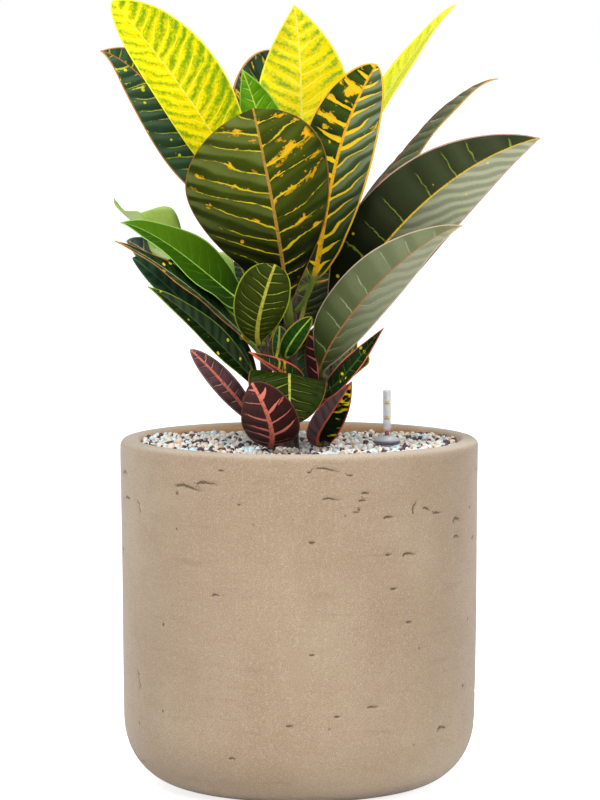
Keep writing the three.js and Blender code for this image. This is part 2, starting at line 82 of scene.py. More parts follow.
# Each pit: degrees round from the front, height, half length, half height, tilt in degrees.
pits = [
    (-37, 175, 9.8, 1.2, -8), (-30, 178, 7.1, 1.1, 0), (-62, 161, 4.8, 0.8, -60), (-19, 168, 1.2, 0.7, 0),
    (-27, 118, 2.5, 0.9, 0), (-25, 186, 1.9, 0.6, 0), (-72, 164, 4.8, 0.8, 0), (60, 154, 4.4, 1.7, 0),
    (4, 148, 1.7, 1.1, 0), (3, 186, 1.1, 0.6, 0), (9, 187, 6.8, 0.7, -10), (16, 184, 1.7, 0.7, 0),
    (21, 174, 2.4, 0.8, 0), (10, 171, 5.1, 0.7, -5), (20, 170, 2.4, 0.7, 0), (18, 164, 1.8, 0.6, 0),
    (29, 160, 3.2, 1.0, 0), (39, 165, 4.3, 0.9, 70), (44, 163, 3.1, 0.8, -20), (49, 160, 3.4, 0.8, 0),
    (60, 145, 3.4, 1.1, 0), (29, 140, 1.9, 0.8, 0), (37, 139, 4.9, 1.0, 0), (31, 121, 2.0, 0.8, 0),
    (37, 102, 2.1, 0.8, 0), (-64, 64, 6.8, 0.7, -73), (-3, 48, 2.2, 0.8, 0), (-22, 29, 2.4, 0.8, 0),
    (53, 40, 4.6, 1.4, 6), (24, 57, 3.7, 0.7, 0), (67, 61, 1.6, 1.0, 0), (12, 53, 1.7, 0.7, 0),
    (4, 87, 1.7, 0.7, 0),
]
pit_depth = 1.0
hidden_pits = 46
# A pit up to the first half length is straight, and one from the second on is a bent crease.
straight_pit, bent_pit = 1.6, 4.0


def linear(code):
    """The linear colour of a hex code: each part over 255, then the screen curve undone."""
    part = np.array([int(code[i:i + 2], 16) for i in (0, 2, 4)]) / 255
    part = np.where(part <= 0.04045, part / 12.92, ((part + 0.055) / 1.055) ** 2.4)
    return (*part.tolist(), 1.0)


def darker(code, share):
    """The linear colour of a hex code, with each part times a share."""
    return tuple(share * part for part in linear(code)[:3]) + (1.0,)


def ease(low, high, x):
    """0 below low and 1 above high, with the smooth cubic 3t^2 - 2t^3 between them."""
    t = np.clip((x - low) / (high - low), 0, 1)
    return t * t * (3 - 2 * t)


def wall_radius(z):
    """The pot's outer radius: the rim's, less a lean that grows with the depth to the power of the bend."""
    down = np.clip((pot_height - z) / (pot_height - foot_height), 0, None)
    return pot_rim_radius + (foot_radius - pot_rim_radius) * down ** wall_bend


def ring_quads(rows, columns, closed):
    """Quads between each row of a grid and the next, all round the columns, and from the last row to the
    first row of a closed grid."""
    row, column = np.meshgrid(np.arange(rows if closed else rows - 1), np.arange(columns), indexing="ij")
    after = (column + 1) % columns
    up = (row + 1) % rows
    quads = [row * columns + column, row * columns + after, up * columns + after, up * columns + column]
    return np.stack(quads, -1).reshape(-1, 4)


def lathe(profile, sides):
    """Points (r cos a, r sin a, z) of a profile of radii and heights turned about z. A profile that starts
    and ends on the axis gets one point at each pole, and one that ends where it starts closes on itself."""
    profile = np.asarray(profile, float)
    closed = np.allclose(profile[0], profile[-1])
    rings = profile[:-1] if closed else profile[1:-1]
    turn = np.linspace(0, 2 * np.pi, sides, endpoint=False)
    x = np.outer(rings[:, 0], np.cos(turn))
    y = np.outer(rings[:, 0], np.sin(turn))
    z = np.repeat(rings[:, 1:], sides, 1)
    points = np.stack([x, y, z], -1).reshape(-1, 3)
    faces = ring_quads(len(rings), sides, closed).tolist()
    if not closed:
        first = np.arange(sides)
        after = (first + 1) % sides
        last = (len(rings) - 1) * sides
        pole = np.full(sides, len(points))
        faces += np.stack([pole, after, first], 1).tolist()
        faces += np.stack([last + first, last + after, pole + 1], 1).tolist()
        points = np.vstack([points, [0, 0, profile[0, 1]], [0, 0, profile[-1, 1]]])
    return points, faces


def new_object(name, data):
    """An object of a mesh, a light or a camera, in the scene."""
    made = bpy.data.objects.new(name, data)
    bpy.context.scene.collection.objects.link(made)
    return made


def new_mesh(name, points, faces):
    """A mesh of points in millimetres."""
    mesh = bpy.data.meshes.new(name)
    mesh.from_pydata((np.asarray(points) * mm).tolist(), [], faces)
    return mesh


def add_piece(name, points, faces, material, body="potted_plant", nodes=(), values=None):
    """A smooth mesh object at the origin, with one float attribute for each of the values."""
    mesh = new_mesh(name, points, faces)
    for key, value in (values or {}).items():
        layer = mesh.attributes.new(key, "FLOAT", "POINT")
        layer.data.foreach_set("value", np.asarray(value, np.float32).ravel())
    mesh.polygons.foreach_set("use_smooth", np.ones(len(mesh.polygons), bool))
    mesh.materials.append(material)
    mesh.update()
    piece = new_object(name, mesh)
    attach(piece, body)
    if nodes:
        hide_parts(*nodes)
    return piece


class Amount:
    """A value that changes over a surface. Each sign between two of them is a Math node."""

    def __init__(self, socket):
        self.socket = socket
        self.tree = socket.id_data

    def __add__(self, other):
        return calc("ADD", self, other)

    def __sub__(self, other):
        return calc("SUBTRACT", self, other)

    def __rsub__(self, other):
        return calc("SUBTRACT", other, self)

    def __mul__(self, other):
        return calc("MULTIPLY", self, other)

    def __truediv__(self, other):
        return calc("DIVIDE", self, other)

    def __abs__(self):
        return calc("ABSOLUTE", self)

    __radd__ = __add__
    __rmul__ = __mul__


def feed(made, inputs):
    """Gives a node its inputs: amounts, other nodes' outputs, plain values, or hex codes for colours."""
    for key, value in inputs.items():
        value = value.socket if isinstance(value, Amount) else value
        if isinstance(value, bpy.types.NodeSocket):
            made.id_data.links.new(value, made.inputs[key])
        else:
            made.inputs[key].default_value = linear(value) if isinstance(value, str) else value


def node(tree, kind, inputs=None, **settings):
    """Adds a shader node with its settings and its inputs."""
    made = tree.nodes.new("ShaderNode" + kind)
    for key, value in settings.items():
        setattr(made, key, value)
    feed(made, inputs or {})
    return made


def calc(operation, *values):
    """The amount that a Math node works out of amounts and plain numbers."""
    tree = next(value.tree for value in values if isinstance(value, Amount))
    return Amount(node(tree, "Math", dict(enumerate(values)), operation=operation).outputs[0])


def mix(share, a, b):
    """Colour a where the share is 0 and colour b where it is 1."""
    made = node(share.tree, "Mix", {0: share, 6: a, 7: b}, data_type="RGBA", clamp_factor=True)
    return made.outputs[2]


def rise(value, low, high):
    """0 below low and 1 above high, smooth between them, or the other way round where low is the larger."""
    inputs = {"Value": value, "From Min": low, "From Max": high}
    return Amount(node(value.tree, "MapRange", inputs, interpolation_type="SMOOTHSTEP").outputs[0])


def spread(value, to_low, to_high, low=0.0, high=1.0):
    """An amount carried straight from the span low to high onto another span, and kept inside it."""
    inputs = {"Value": value, "From Min": low, "From Max": high, "To Min": to_low, "To Max": to_high}
    return Amount(node(value.tree, "MapRange", inputs).outputs[0])


def place(tree):
    """The point's own place on the piece, in metres."""
    return node(tree, "TexCoord").outputs["Object"]


def height_at(at):
    """The height of a place."""
    return Amount(node(at.id_data, "SeparateXYZ", {0: at}).outputs[2])


def stretched(at, scale):
    """A place with each part times its own scale."""
    return node(at.id_data, "Mapping", {"Vector": at, "Scale": scale}).outputs[0]


def noise(at, scale, detail=3.0, roughness=0.5):
    """Cloudy noise from 0 to 1 at so many features a metre, or a unit of the vector."""
    inputs = {"Vector": at, "Scale": scale, "Detail": detail, "Roughness": roughness}
    return Amount(node(at.id_data, "TexNoise", inputs).outputs[0])


def cells(at, scale):
    """Scattered cells, so many a metre: the distance to a cell's middle, and the cell's own random number."""
    made = node(at.id_data, "TexVoronoi", {"Vector": at, "Scale": scale})
    return Amount(made.outputs["Distance"]), Amount(made.outputs["Color"])


def attribute(tree, name):
    """A float attribute of the mesh."""
    return Amount(node(tree, "Attribute", attribute_name=name).outputs["Fac"])


def new_material(name):
    """An empty material: its tree, and the Principled shader that its surface shows."""
    material = bpy.data.materials.new(name)
    material.use_nodes = True
    tree = material.node_tree
    tree.nodes.clear()
    shader = node(tree, "BsdfPrincipled")
    node(tree, "OutputMaterial", {"Surface": shader.outputs[0]})
    return material, tree, shader


def bump(shader, height, distance, strength=1.0):
    """Gives a shader a bump of a height in parts of a distance in metres."""
    inputs = {"Height": height, "Distance": distance, "Strength": strength}
    feed(shader, {"Normal": node(shader.id_data, "Bump", inputs).outputs[0]})


def new_group(name, inputs, outputs):
    """A node group with named sockets of given kinds: its tree, what it is given and what it puts out."""
    group = bpy.data.node_groups.new(name, "ShaderNodeTree")
    for sockets, way in ((inputs, "INPUT"), (outputs, "OUTPUT")):
        for key, kind in sockets.items():
            group.interface.new_socket(key, in_out=way, socket_type="NodeSocket" + kind)
    given = group.nodes.new("NodeGroupInput").outputs
    given = {key: Amount(given[key]) if kind == "Float" else given[key] for key, kind in inputs.items()}
    return group, given, group.nodes.new("NodeGroupOutput")


# Mineral grain: the fine sandy speckle that the fired clay and the granules share.
grain_group, given, shown = new_group("mineral grain", {"Scale": "Float"},
                                      {"Grain": "Float", "Fleck": "Float"})
at = place(grain_group)
fleck_at, fleck_luck = cells(at, given["Scale"] * 0.85)
feed(shown, {
    "Grain": noise(at, given["Scale"], 2.0, 0.7),
    "Fleck": rise(fleck_luck, 0.62, 0.7) * rise(fleck_at, 0.42, 0.2),
})


def grain(tree, scale):
    """Places the mineral grain in a material: its grain and its flecks."""
    made = node(tree, "Group", {"Scale": scale}, node_tree=grain_group)
    return Amount(made.outputs["Grain"]), Amount(made.outputs["Fleck"])


def corner_round(steps, lift=0.0):
    """Radii and heights of the quarter circle between the pot's floor and its inner face, which go with the
    sine of the turn and with one less its cosine, drawn in by a lift."""
    turn = np.linspace(0, quarter_turn, steps)
    middle = foot_radius - pot_wall - inner_corner
    return np.stack([middle + (inner_corner - lift) * np.sin(turn),
                     pot_floor + lift + (inner_corner - lift) * (1 - np.cos(turn))], 1)


def pot_profile():
    """The wall's section from the middle of the underside, out and up the foot's soft curve, over the rim's
    quarter rounds and down the inner face to the middle of the floor."""
    turn = np.linspace(0, quarter_turn, foot_rows)
    foot = np.stack([foot_radius - foot_height * (1 - np.sin(turn) ** foot_power),
                     foot_height * (1 - np.cos(turn) ** foot_power)], 1)
    wall_z = np.linspace(foot_height, rim_start, wall_rows)[1:]
    wall = np.stack([wall_radius(wall_z), wall_z], 1)
    rim_turn = np.linspace(0, quarter_turn, rim_rows)
    rim_z = pot_height - rim_round * (1 - np.sin(rim_turn))
    rim_set = rim_round * (1 - np.cos(rim_turn))
    outer_rim = np.stack([wall_radius(rim_start) - rim_set, rim_z], 1)[1:]
    inner_rim = np.stack([wall_radius(rim_start) - pot_wall + rim_set, rim_z], 1)[::-1]
    face_z = np.linspace(rim_start, pot_floor + inner_corner, face_rows)[1:-1]
    face = np.stack([wall_radius(face_z) - pot_wall, face_z], 1)
    floor = np.vstack([corner_round(corner_rows)[::-1], [0, pot_floor]])
    return np.vstack([[0, 0], foot, wall, outer_rim, inner_rim, face, floor])


points, faces = lathe(pot_profile(), pot_columns)
radius = np.hypot(points[:, 0], points[:, 1])
azimuth = np.degrees(np.arctan2(points[:, 0], -points[:, 1]))
height = points[:, 2]
outside = (radius > wall_radius(height) - 0.5 * pot_wall) | (height < foot_height)
chance = np.random.default_rng(5)
# The pits round the back have the same five measures, each drawn between these bounds.
back_pit_spans = ((75, 285), (20, 188), (1.5, 6), (0.7, 1.4), (-25, 25))
back_pits = np.stack([chance.uniform(*span, hidden_pits) for span in back_pit_spans], 1)
# Every point keeps the measures of its nearest pit: how far along and over it lies, and the pit's bend.
dent = np.zeros(len(points))
nearest = np.full(len(points), np.inf)
pit_along, pit_over = np.full((2, len(points)), 9.0)
pit_bend = np.ones(len(points))
for around, level, half_length, half_height, tilt in [*pits, *back_pits.tolist()]:
    aside = np.radians((azimuth - around + 180) % 360 - 180) * pot_rim_radius
    above = height - level
    lean = math.radians(tilt)
    along = (aside * math.cos(lean) + above * math.sin(lean)) / half_length
    over = (above * math.cos(lean) - aside * math.sin(lean)) / half_height
    bend = min(1, max(0, (half_length - straight_pit) / (bent_pit - straight_pit)))
    crest = bend * (ease(-1, -0.4, along) - 0.8 * ease(-0.4, 1, along))
    dent = np.maximum(dent, np.exp(-(along ** 4) - (over - crest) ** 2))
    away = np.maximum(np.abs(along), np.abs(over) / 3)
    pit_along = np.where(away < nearest, along, pit_along)
    pit_over = np.where(away < nearest, over, pit_over)
    pit_bend = np.where(away < nearest, bend, pit_bend)
    nearest = np.minimum(nearest, away)
dent = dent * outside
pit_near = (nearest < 1.5) * outside
# The rubbed wall swells and sinks by up to a fifth of a millimetre in two slow waves.
lumps = 0.12 * np.sin(azimuth / 17 + height / 31) + 0.1 * np.sin(azimuth / 9 - height / 22 + 2)
lumps = lumps * outside * ease(6, 30, height) * ease(194, 185, height)
points[:, :2] *= (1 - (pit_depth * dent - lumps) / np.maximum(radius, 1))[:, None]
inside = ease(0.5, 3, wall_radius(height) - radius) * ease(194.8, 193, height) * ~outside

clay_material, tree, shader = new_material("clay fibre")
at = place(tree)
grains, flecks = grain(tree, 1650.0)
cloud = noise(at, 16.0, 4.0, 0.6)
wipe = rise(noise(stretched(at, (30.0, 30.0, 260.0)), 1.0, 4.0, 0.65), 0.56, 0.72)
colour = mix(rise(cloud, 0.35, 0.7), clay, clay_pale)
# The top millimetres of the rim are painted paler: a painted highlight where the rim faces the light from
# above.
colour = mix(rise(height_at(at), 0.192, 0.195), colour, clay_rim_highlight)
# The inner face below the rim is painted a warmer orange: the warm tone of the shade inside the pot.
colour = mix(attribute(tree, "inside"), colour, clay_inside_shade_tone)
colour = mix(rise(grains, 0.5, 0.7) * 0.36, colour, sand_pale)
colour = mix(rise(grains, 0.5, 0.3) * 0.38, colour, sand_dark)
colour = mix(flecks * 0.3, colour, sand_fleck)
colour = mix(wipe * 0.2, colour, clay_wiped)
# Tiny pits scattered over the clay are darkened with painted shade in their hollows.
tiny_at, tiny_luck = cells(at, 95.0)
tiny_pit = rise(tiny_at, 0.12, 0.06) * rise(tiny_luck, 0.7, 0.74)
# A crease is a thin crescent of painted shade along its pit's crest, slimmer towards its ends and frayed by
# noise.
along, bend = attribute(tree, "pit along"), attribute(tree, "pit bend")
crest = (rise(along, -1.0, -0.4) - rise(along, -0.4, 1.0) * 0.8) * bend + (noise(at, 420.0) * 2.0 - 1.0)
half_crease = rise(along, 1.3, 0.0 - bend * 0.7) * rise(abs(along), 1.1, 0.8)
crease = abs(attribute(tree, "pit over") - crest) / calc("MAXIMUM", half_crease, 0.01)
crease = rise(crease, 0.95, 0.35) * rise(attribute(tree, "pit near"), 0.5, 0.9)
# The dents of the pits are darkened with painted shade, and the creases and tiny pits more strongly.
colour = mix(rise(attribute(tree, "pit"), 0.2, 0.9) * 0.22, colour, clay_pit_shade)
colour = mix(calc("MAXIMUM", crease, tiny_pit) * 0.8, colour, clay_pit_shade)
feed(shader, {"Base Color": colour, "Roughness": 0.88, "Specular IOR Level": 0.25, "Sheen Weight": 0.3})
bump(shader, grains * 0.6 + cloud - tiny_pit * 1.5, 0.0005, 0.6)
add_piece("planter", points, faces, clay_material, nodes=["pot"],
          values={"pit": dent, "pit along": pit_along, "pit over": pit_over, "pit near": pit_near,
                  "pit bend": pit_bend, "inside": inside})


# The granules: loose mineral gravel of pumice, zeolite and lava, 2 to 4 mm across, poured in to just under
# the rim. The bed is the poured fill, painted grey as the shade in the gaps between the stones, and the
# stones of its top lie on it in five colours.
fill_top = 188.0
side_rise = 5.0
bed_sides = 96
bed_rings = 40
seat = 0.3
gauge_at = np.array([49.0, 2.0])
gauge_sides = 64
housing_radius = 6.4
housing_foot = pot_floor + 6
collar_radius = 7.4
collar_foot = 191.5
stone_spacing = 3.05
stone_half = (1.05, 2.15)
grid_half = 36
bedding = 0.6
lower_shift = 0.8
upper_shift = 1.4
upper_lift = 1.5
upper_share = 0.42
# The bed's grey is painted shade for the gaps between the stones.
bed_gap_shade = "988d85"
stone_fleck = "f6f3ec"
stone_kinds = {
    "cream": ("f5e7d7", 0.36), "white": ("fffdfa", 0.2), "frost": ("d8f1fa", 0.2),
    "lava": ("5c474a", 0.22), "amber": ("e6b273", 0.02),
}
stems = {
    "main": dict(foot=(-4, 8), head=(-4, 7), z=(148, 304), bow=(-1, -3), radius=(5, 3.2)),
    "left": dict(foot=(-17, -4), head=(-22, -7), z=(150, 279), bow=(2, 1), radius=(4.2, 2.8)),
    "right": dict(foot=(11, 0), head=(13, -3), z=(150, 262), bow=(2, 1), radius=(4.2, 2.8)),
}


def stem_at(stem, z):
    """A stem's centre and radius at a height: straight from foot to head, plus a half sine of its bow."""
    u = np.clip((z - stem["z"][0]) / (stem["z"][1] - stem["z"][0]), 0, 1)[..., None]
    foot, head, bow = (np.array(stem[key], float) for key in ("foot", "head", "bow"))
    centre = foot + (head - foot) * u + bow * np.sin(np.pi * u)
    return centre, stem["radius"][0] + (stem["radius"][1] - stem["radius"][0]) * u[..., 0]


def unit(vectors):
    """Vectors divided by their own length."""
    return vectors / np.linalg.norm(vectors, axis=-1, keepdims=True)


def fill_height(x):
    """The fill's level, higher towards both sides with the square of the distance."""
    return fill_top + side_rise * (x / 88) ** 2


def stone_material(name, code):
    """Dry porous stone: its own colour, cloudy from stone to stone, with a mineral grain."""
    material, tree, shader = new_material(name)
    grains, flecks = grain(tree, 1900.0)
    dark = darker(code, 0.85)
    colour = mix(rise(noise(place(tree), 260.0, 2.0), 0.62, 0.3), code, dark)
    colour = mix(rise(grains, 0.5, 0.3) * 0.5, colour, dark)
    colour = mix(flecks * 0.4, colour, stone_fleck)
    feed(shader, {"Base Color": colour, "Roughness": 0.9})
    bump(shader, grains, 0.0004, 0.7)
    return material


def cut_out(piece, name, points, faces):
    """Takes a closed shape out of a piece."""
    cutter = new_object(name, new_mesh(name, points, faces))
    cut = piece.modifiers.new(name, "BOOLEAN")
    cut.operation = "DIFFERENCE"
    cut.solver = "EXACT"
    cut.object = cutter
    shaped = bpy.data.meshes.new_from_object(piece.evaluated_get(bpy.context.evaluated_depsgraph_get()))
    piece.modifiers.clear()
    piece.data = shaped
    bpy.data.objects.remove(cutter)


inner_radius = float(wall_radius(np.array(fill_top))) - pot_wall - seat
bed_top = [(inner_radius * share, fill_top - 1.0) for share in np.linspace(1, 0, bed_rings)]
points, faces = lathe([(0, pot_floor + seat), *corner_round(8, seat), *bed_top], bed_sides)
top = points[:, 2] > fill_top - 2
ripple = np.sin(points[:, 0] * 1.9) * np.sin(points[:, 1] * 2.1)
points[:, 2] += np.where(top, fill_height(points[:, 0]) - fill_top + 0.5 * ripple - 0.4, 0)
bed = add_piece("granule_bed", points, faces, stone_material("granule bed", bed_gap_shade),
                nodes=["granules"])
hole_radius = housing_radius + seat
hole_foot = housing_foot - seat
points, faces = lathe([(0, hole_foot), (hole_radius, hole_foot), (hole_radius, pot_height), (0, pot_height)],
                      gauge_sides)
points[:, :2] += gauge_at
cut_out(bed, "gauge hole", points, faces)

# One stone is the ball that a cube's 26 outer lattice points make, with four faces on each of its sides.
steps = (-1, 0, 1)
lattice = [(x, y, z) for x in steps for y in steps for z in steps if x or y or z]
lookup = {corner: i for i, corner in enumerate(lattice)}
lattice = np.array(lattice, float)
stone_faces = []
for axis in range(3):
    for side in (-1, 1):
        for a in (-1, 0):
            for b in (-1, 0):
                loop = []
                for da, db in ((0, 0), (1, 0), (1, 1), (0, 1))[::side]:
                    corner = [0, 0, 0]
                    corner[axis], corner[(axis + 1) % 3], corner[(axis + 2) % 3] = side, a + da, b + db
                    loop.append(lookup[tuple(corner)])
                stone_faces.append(loop)
stone_faces = np.array(stone_faces)
stone_base = unit(lattice)

# The stones lie in two loose layers on a grid of triangles, clear of the wall, the gauge and the stems.
chance = np.random.default_rng(11)
column, row = np.meshgrid(*[np.arange(-grid_half, grid_half + 1)] * 2)
spots = np.stack([(column + 0.5 * (row % 2)) * stone_spacing, row * stone_spacing * 0.866], -1)
spots = spots.reshape(-1, 2)
lower = spots + chance.uniform(-lower_shift, lower_shift, spots.shape)
upper = spots + chance.uniform(-upper_shift, upper_shift, spots.shape) + 0.5 * stone_spacing
upper = upper[chance.random(len(upper)) < upper_share]
centres = np.vstack([np.c_[lower, np.zeros(len(lower))], np.c_[upper, np.ones(len(upper))]])
half = chance.uniform(*stone_half, len(centres))
level = fill_height(centres[:, 0]) - bedding + centres[:, 2] * upper_lift
level += chance.uniform(-0.45, 0.45, len(centres))
clear = np.hypot(centres[:, 0], centres[:, 1]) < inner_radius - half
from_gauge = np.hypot(*(centres[:, :2] - gauge_at).T)
clear &= from_gauge > hole_radius + half
clear &= (from_gauge > collar_radius + half) | (level + half < collar_foot)
for stem in stems.values():
    centre, stem_radius = stem_at(stem, np.array(fill_top))
    clear &= np.hypot(*(centres[:, :2] - centre).T) > stem_radius + half
centres, half, level = centres[clear], half[clear], level[clear]
count = len(centres)
squash = chance.uniform(0.72, 1.15, (count, 1, 3))
lumpy = chance.uniform(0.8, 1.14, (count, len(stone_base), 1))
# Each stone is turned by a random unit quaternion, written out as a rotation matrix.
w, x, y, z = unit(chance.normal(size=(count, 4))).T
turn = np.stack([
    1 - 2 * (y * y + z * z), 2 * (x * y - w * z), 2 * (x * z + w * y),
    2 * (x * y + w * z), 1 - 2 * (x * x + z * z), 2 * (y * z - w * x),
    2 * (x * z - w * y), 2 * (y * z + w * x), 1 - 2 * (x * x + y * y),
], -1).reshape(-1, 3, 3)
stones = np.einsum("nij,nkj->nki", turn, stone_base[None] * lumpy * squash) * half[:, None, None]
stones += np.c_[centres[:, :2], level][:, None]
draw = chance.random(count)
bottom = 0.0
for kind, (code, share) in stone_kinds.items():
    chosen = stones[(draw >= bottom) & (draw < bottom + share)]
    bottom += share
    shift = np.arange(len(chosen))[:, None, None] * len(stone_base)
    add_piece("granules_" + kind, chosen.reshape(-1, 3), (stone_faces[None] + shift).reshape(-1, 4).tolist(),
              stone_material("granules " + kind, code))


# The stems: three cuttings, left, main and right, whose young bark is dark brown and ringed with the scars
# that shed leaves left. Each stands in the granules by its own roots.
bark = "2b1c1a"
bark_pale = "54402f"
bark_scar = "7b6a50"
stem_rows = 150
stem_sides = 40
crown_height = 1.5
scar_spacing = 9.3
bark_material, tree, shader = new_material("stem bark")
long_grain = noise(stretched(place(tree), (900.0, 900.0, 160.0)), 1.0)
colour = mix(rise(long_grain, 0.35, 0.7), bark, bark_pale)
feed(shader, {"Base Color": mix(attribute(tree, "scar"), colour, bark_scar), "Roughness": 0.62})
bump(shader, long_grain, 0.0006)
turn = np.linspace(0, 2 * np.pi, stem_sides, endpoint=False)
for name, stem in stems.items():
    low, high = stem["z"]
    crown_foot = high - crown_height
    crown_z = crown_foot + crown_height * np.sin(np.linspace(0.3, 1.57, 6))
    z = np.concatenate([[low], np.linspace(low, crown_foot, stem_rows), crown_z])
    crown = np.concatenate([[0.02], np.ones(stem_rows), np.cos(np.linspace(0.3, 1.5, 6))])[:, None]
    centre, stem_radius = stem_at(stem, z)
    z = z[:, None]
    scar = np.exp(-(((z / scar_spacing + 0.5 * turn / np.pi) % 1 - 0.5) / 0.07) ** 2)
    scar = scar * (np.cos(turn + z // scar_spacing * 2.4) > 0.1)
    thick = stem_radius[:, None] * (1 + 0.05 * scar + 0.03 * np.sin(3 * turn + z / 7)) * crown
    points = np.stack([centre[:, :1] + thick * np.cos(turn), centre[:, 1:] + thick * np.sin(turn),
                       np.repeat(z, stem_sides, 1)], -1).reshape(-1, 3)
    faces = ring_quads(len(z), stem_sides, False).tolist()
    faces += [list(range(stem_sides))[::-1], list(range(len(points) - stem_sides, len(points)))]
    add_piece(name + "_stem", points, faces, bark_material, nodes=["stem_" + name],
              values={"scar": scar})


# The leaves: each is one thin leathery blade on a short stalk, grown from its stem. The side veins are sunk
# in the upper side and the skin swells between them. Young leaves are yellow, and old ones dark with
# veined colour.
blade_thickness = 0.6
stalk_ease = 0.12
fold_ease = 0.25
tip_half = 0.3
rib_depth = 0.9
row_step = 1.25
row_limits = (40, 170)
column_step = 1.5
column_limits = (8, 26)
column_power = 1.35
curve_steps = 801
# The blade's outline is half * rise^p * fall^q of its length, widest at p / (p + q).
shapes = {"round": (1.05, 0.42), "full": (1.5, 0.8), "spoon": (0.95, 0.55), "oval": (0.8, 0.65),
          "pointed": (1.1, 1.0), "lance": (0.65, 0.95)}


def leaf_curve(stem, leaf, stalk_radius, shares):
    """Points and directions on the midrib's cubic curve at shares of its arc length. It starts just clear of
    the stem, on the side where its first way point lies."""
    centre, radius = stem_at(stem, np.array(float(leaf["at"])))
    way = np.array(leaf["way"], float)
    root = np.array([*centre, leaf["at"]])
    out = way[0] - root
    steepness = abs(unit(out)[2])
    root[:2] += unit(out[:2]) * (radius + seat + stalk_radius * steepness)
    a, b, c, d = root, *way

    def cubic(t):
        """The curve at t: its four points weighed by the cubic powers of t and 1 - t."""
        return (1 - t) ** 3 * a + 3 * (1 - t) ** 2 * t * b + 3 * (1 - t) * t ** 2 * c + t ** 3 * d

    t = np.linspace(0, 1, curve_steps)[:, None]
    length = np.concatenate([[0], np.cumsum(np.linalg.norm(np.diff(cubic(t), axis=0), axis=1))])
    t = np.interp(shares * length[-1], length, t[:, 0])[:, None]
    along = 3 * ((1 - t) ** 2 * (b - a) + 2 * (1 - t) * t * (c - b) + t ** 2 * (d - c))
    return cubic(t), unit(along), length[-1]


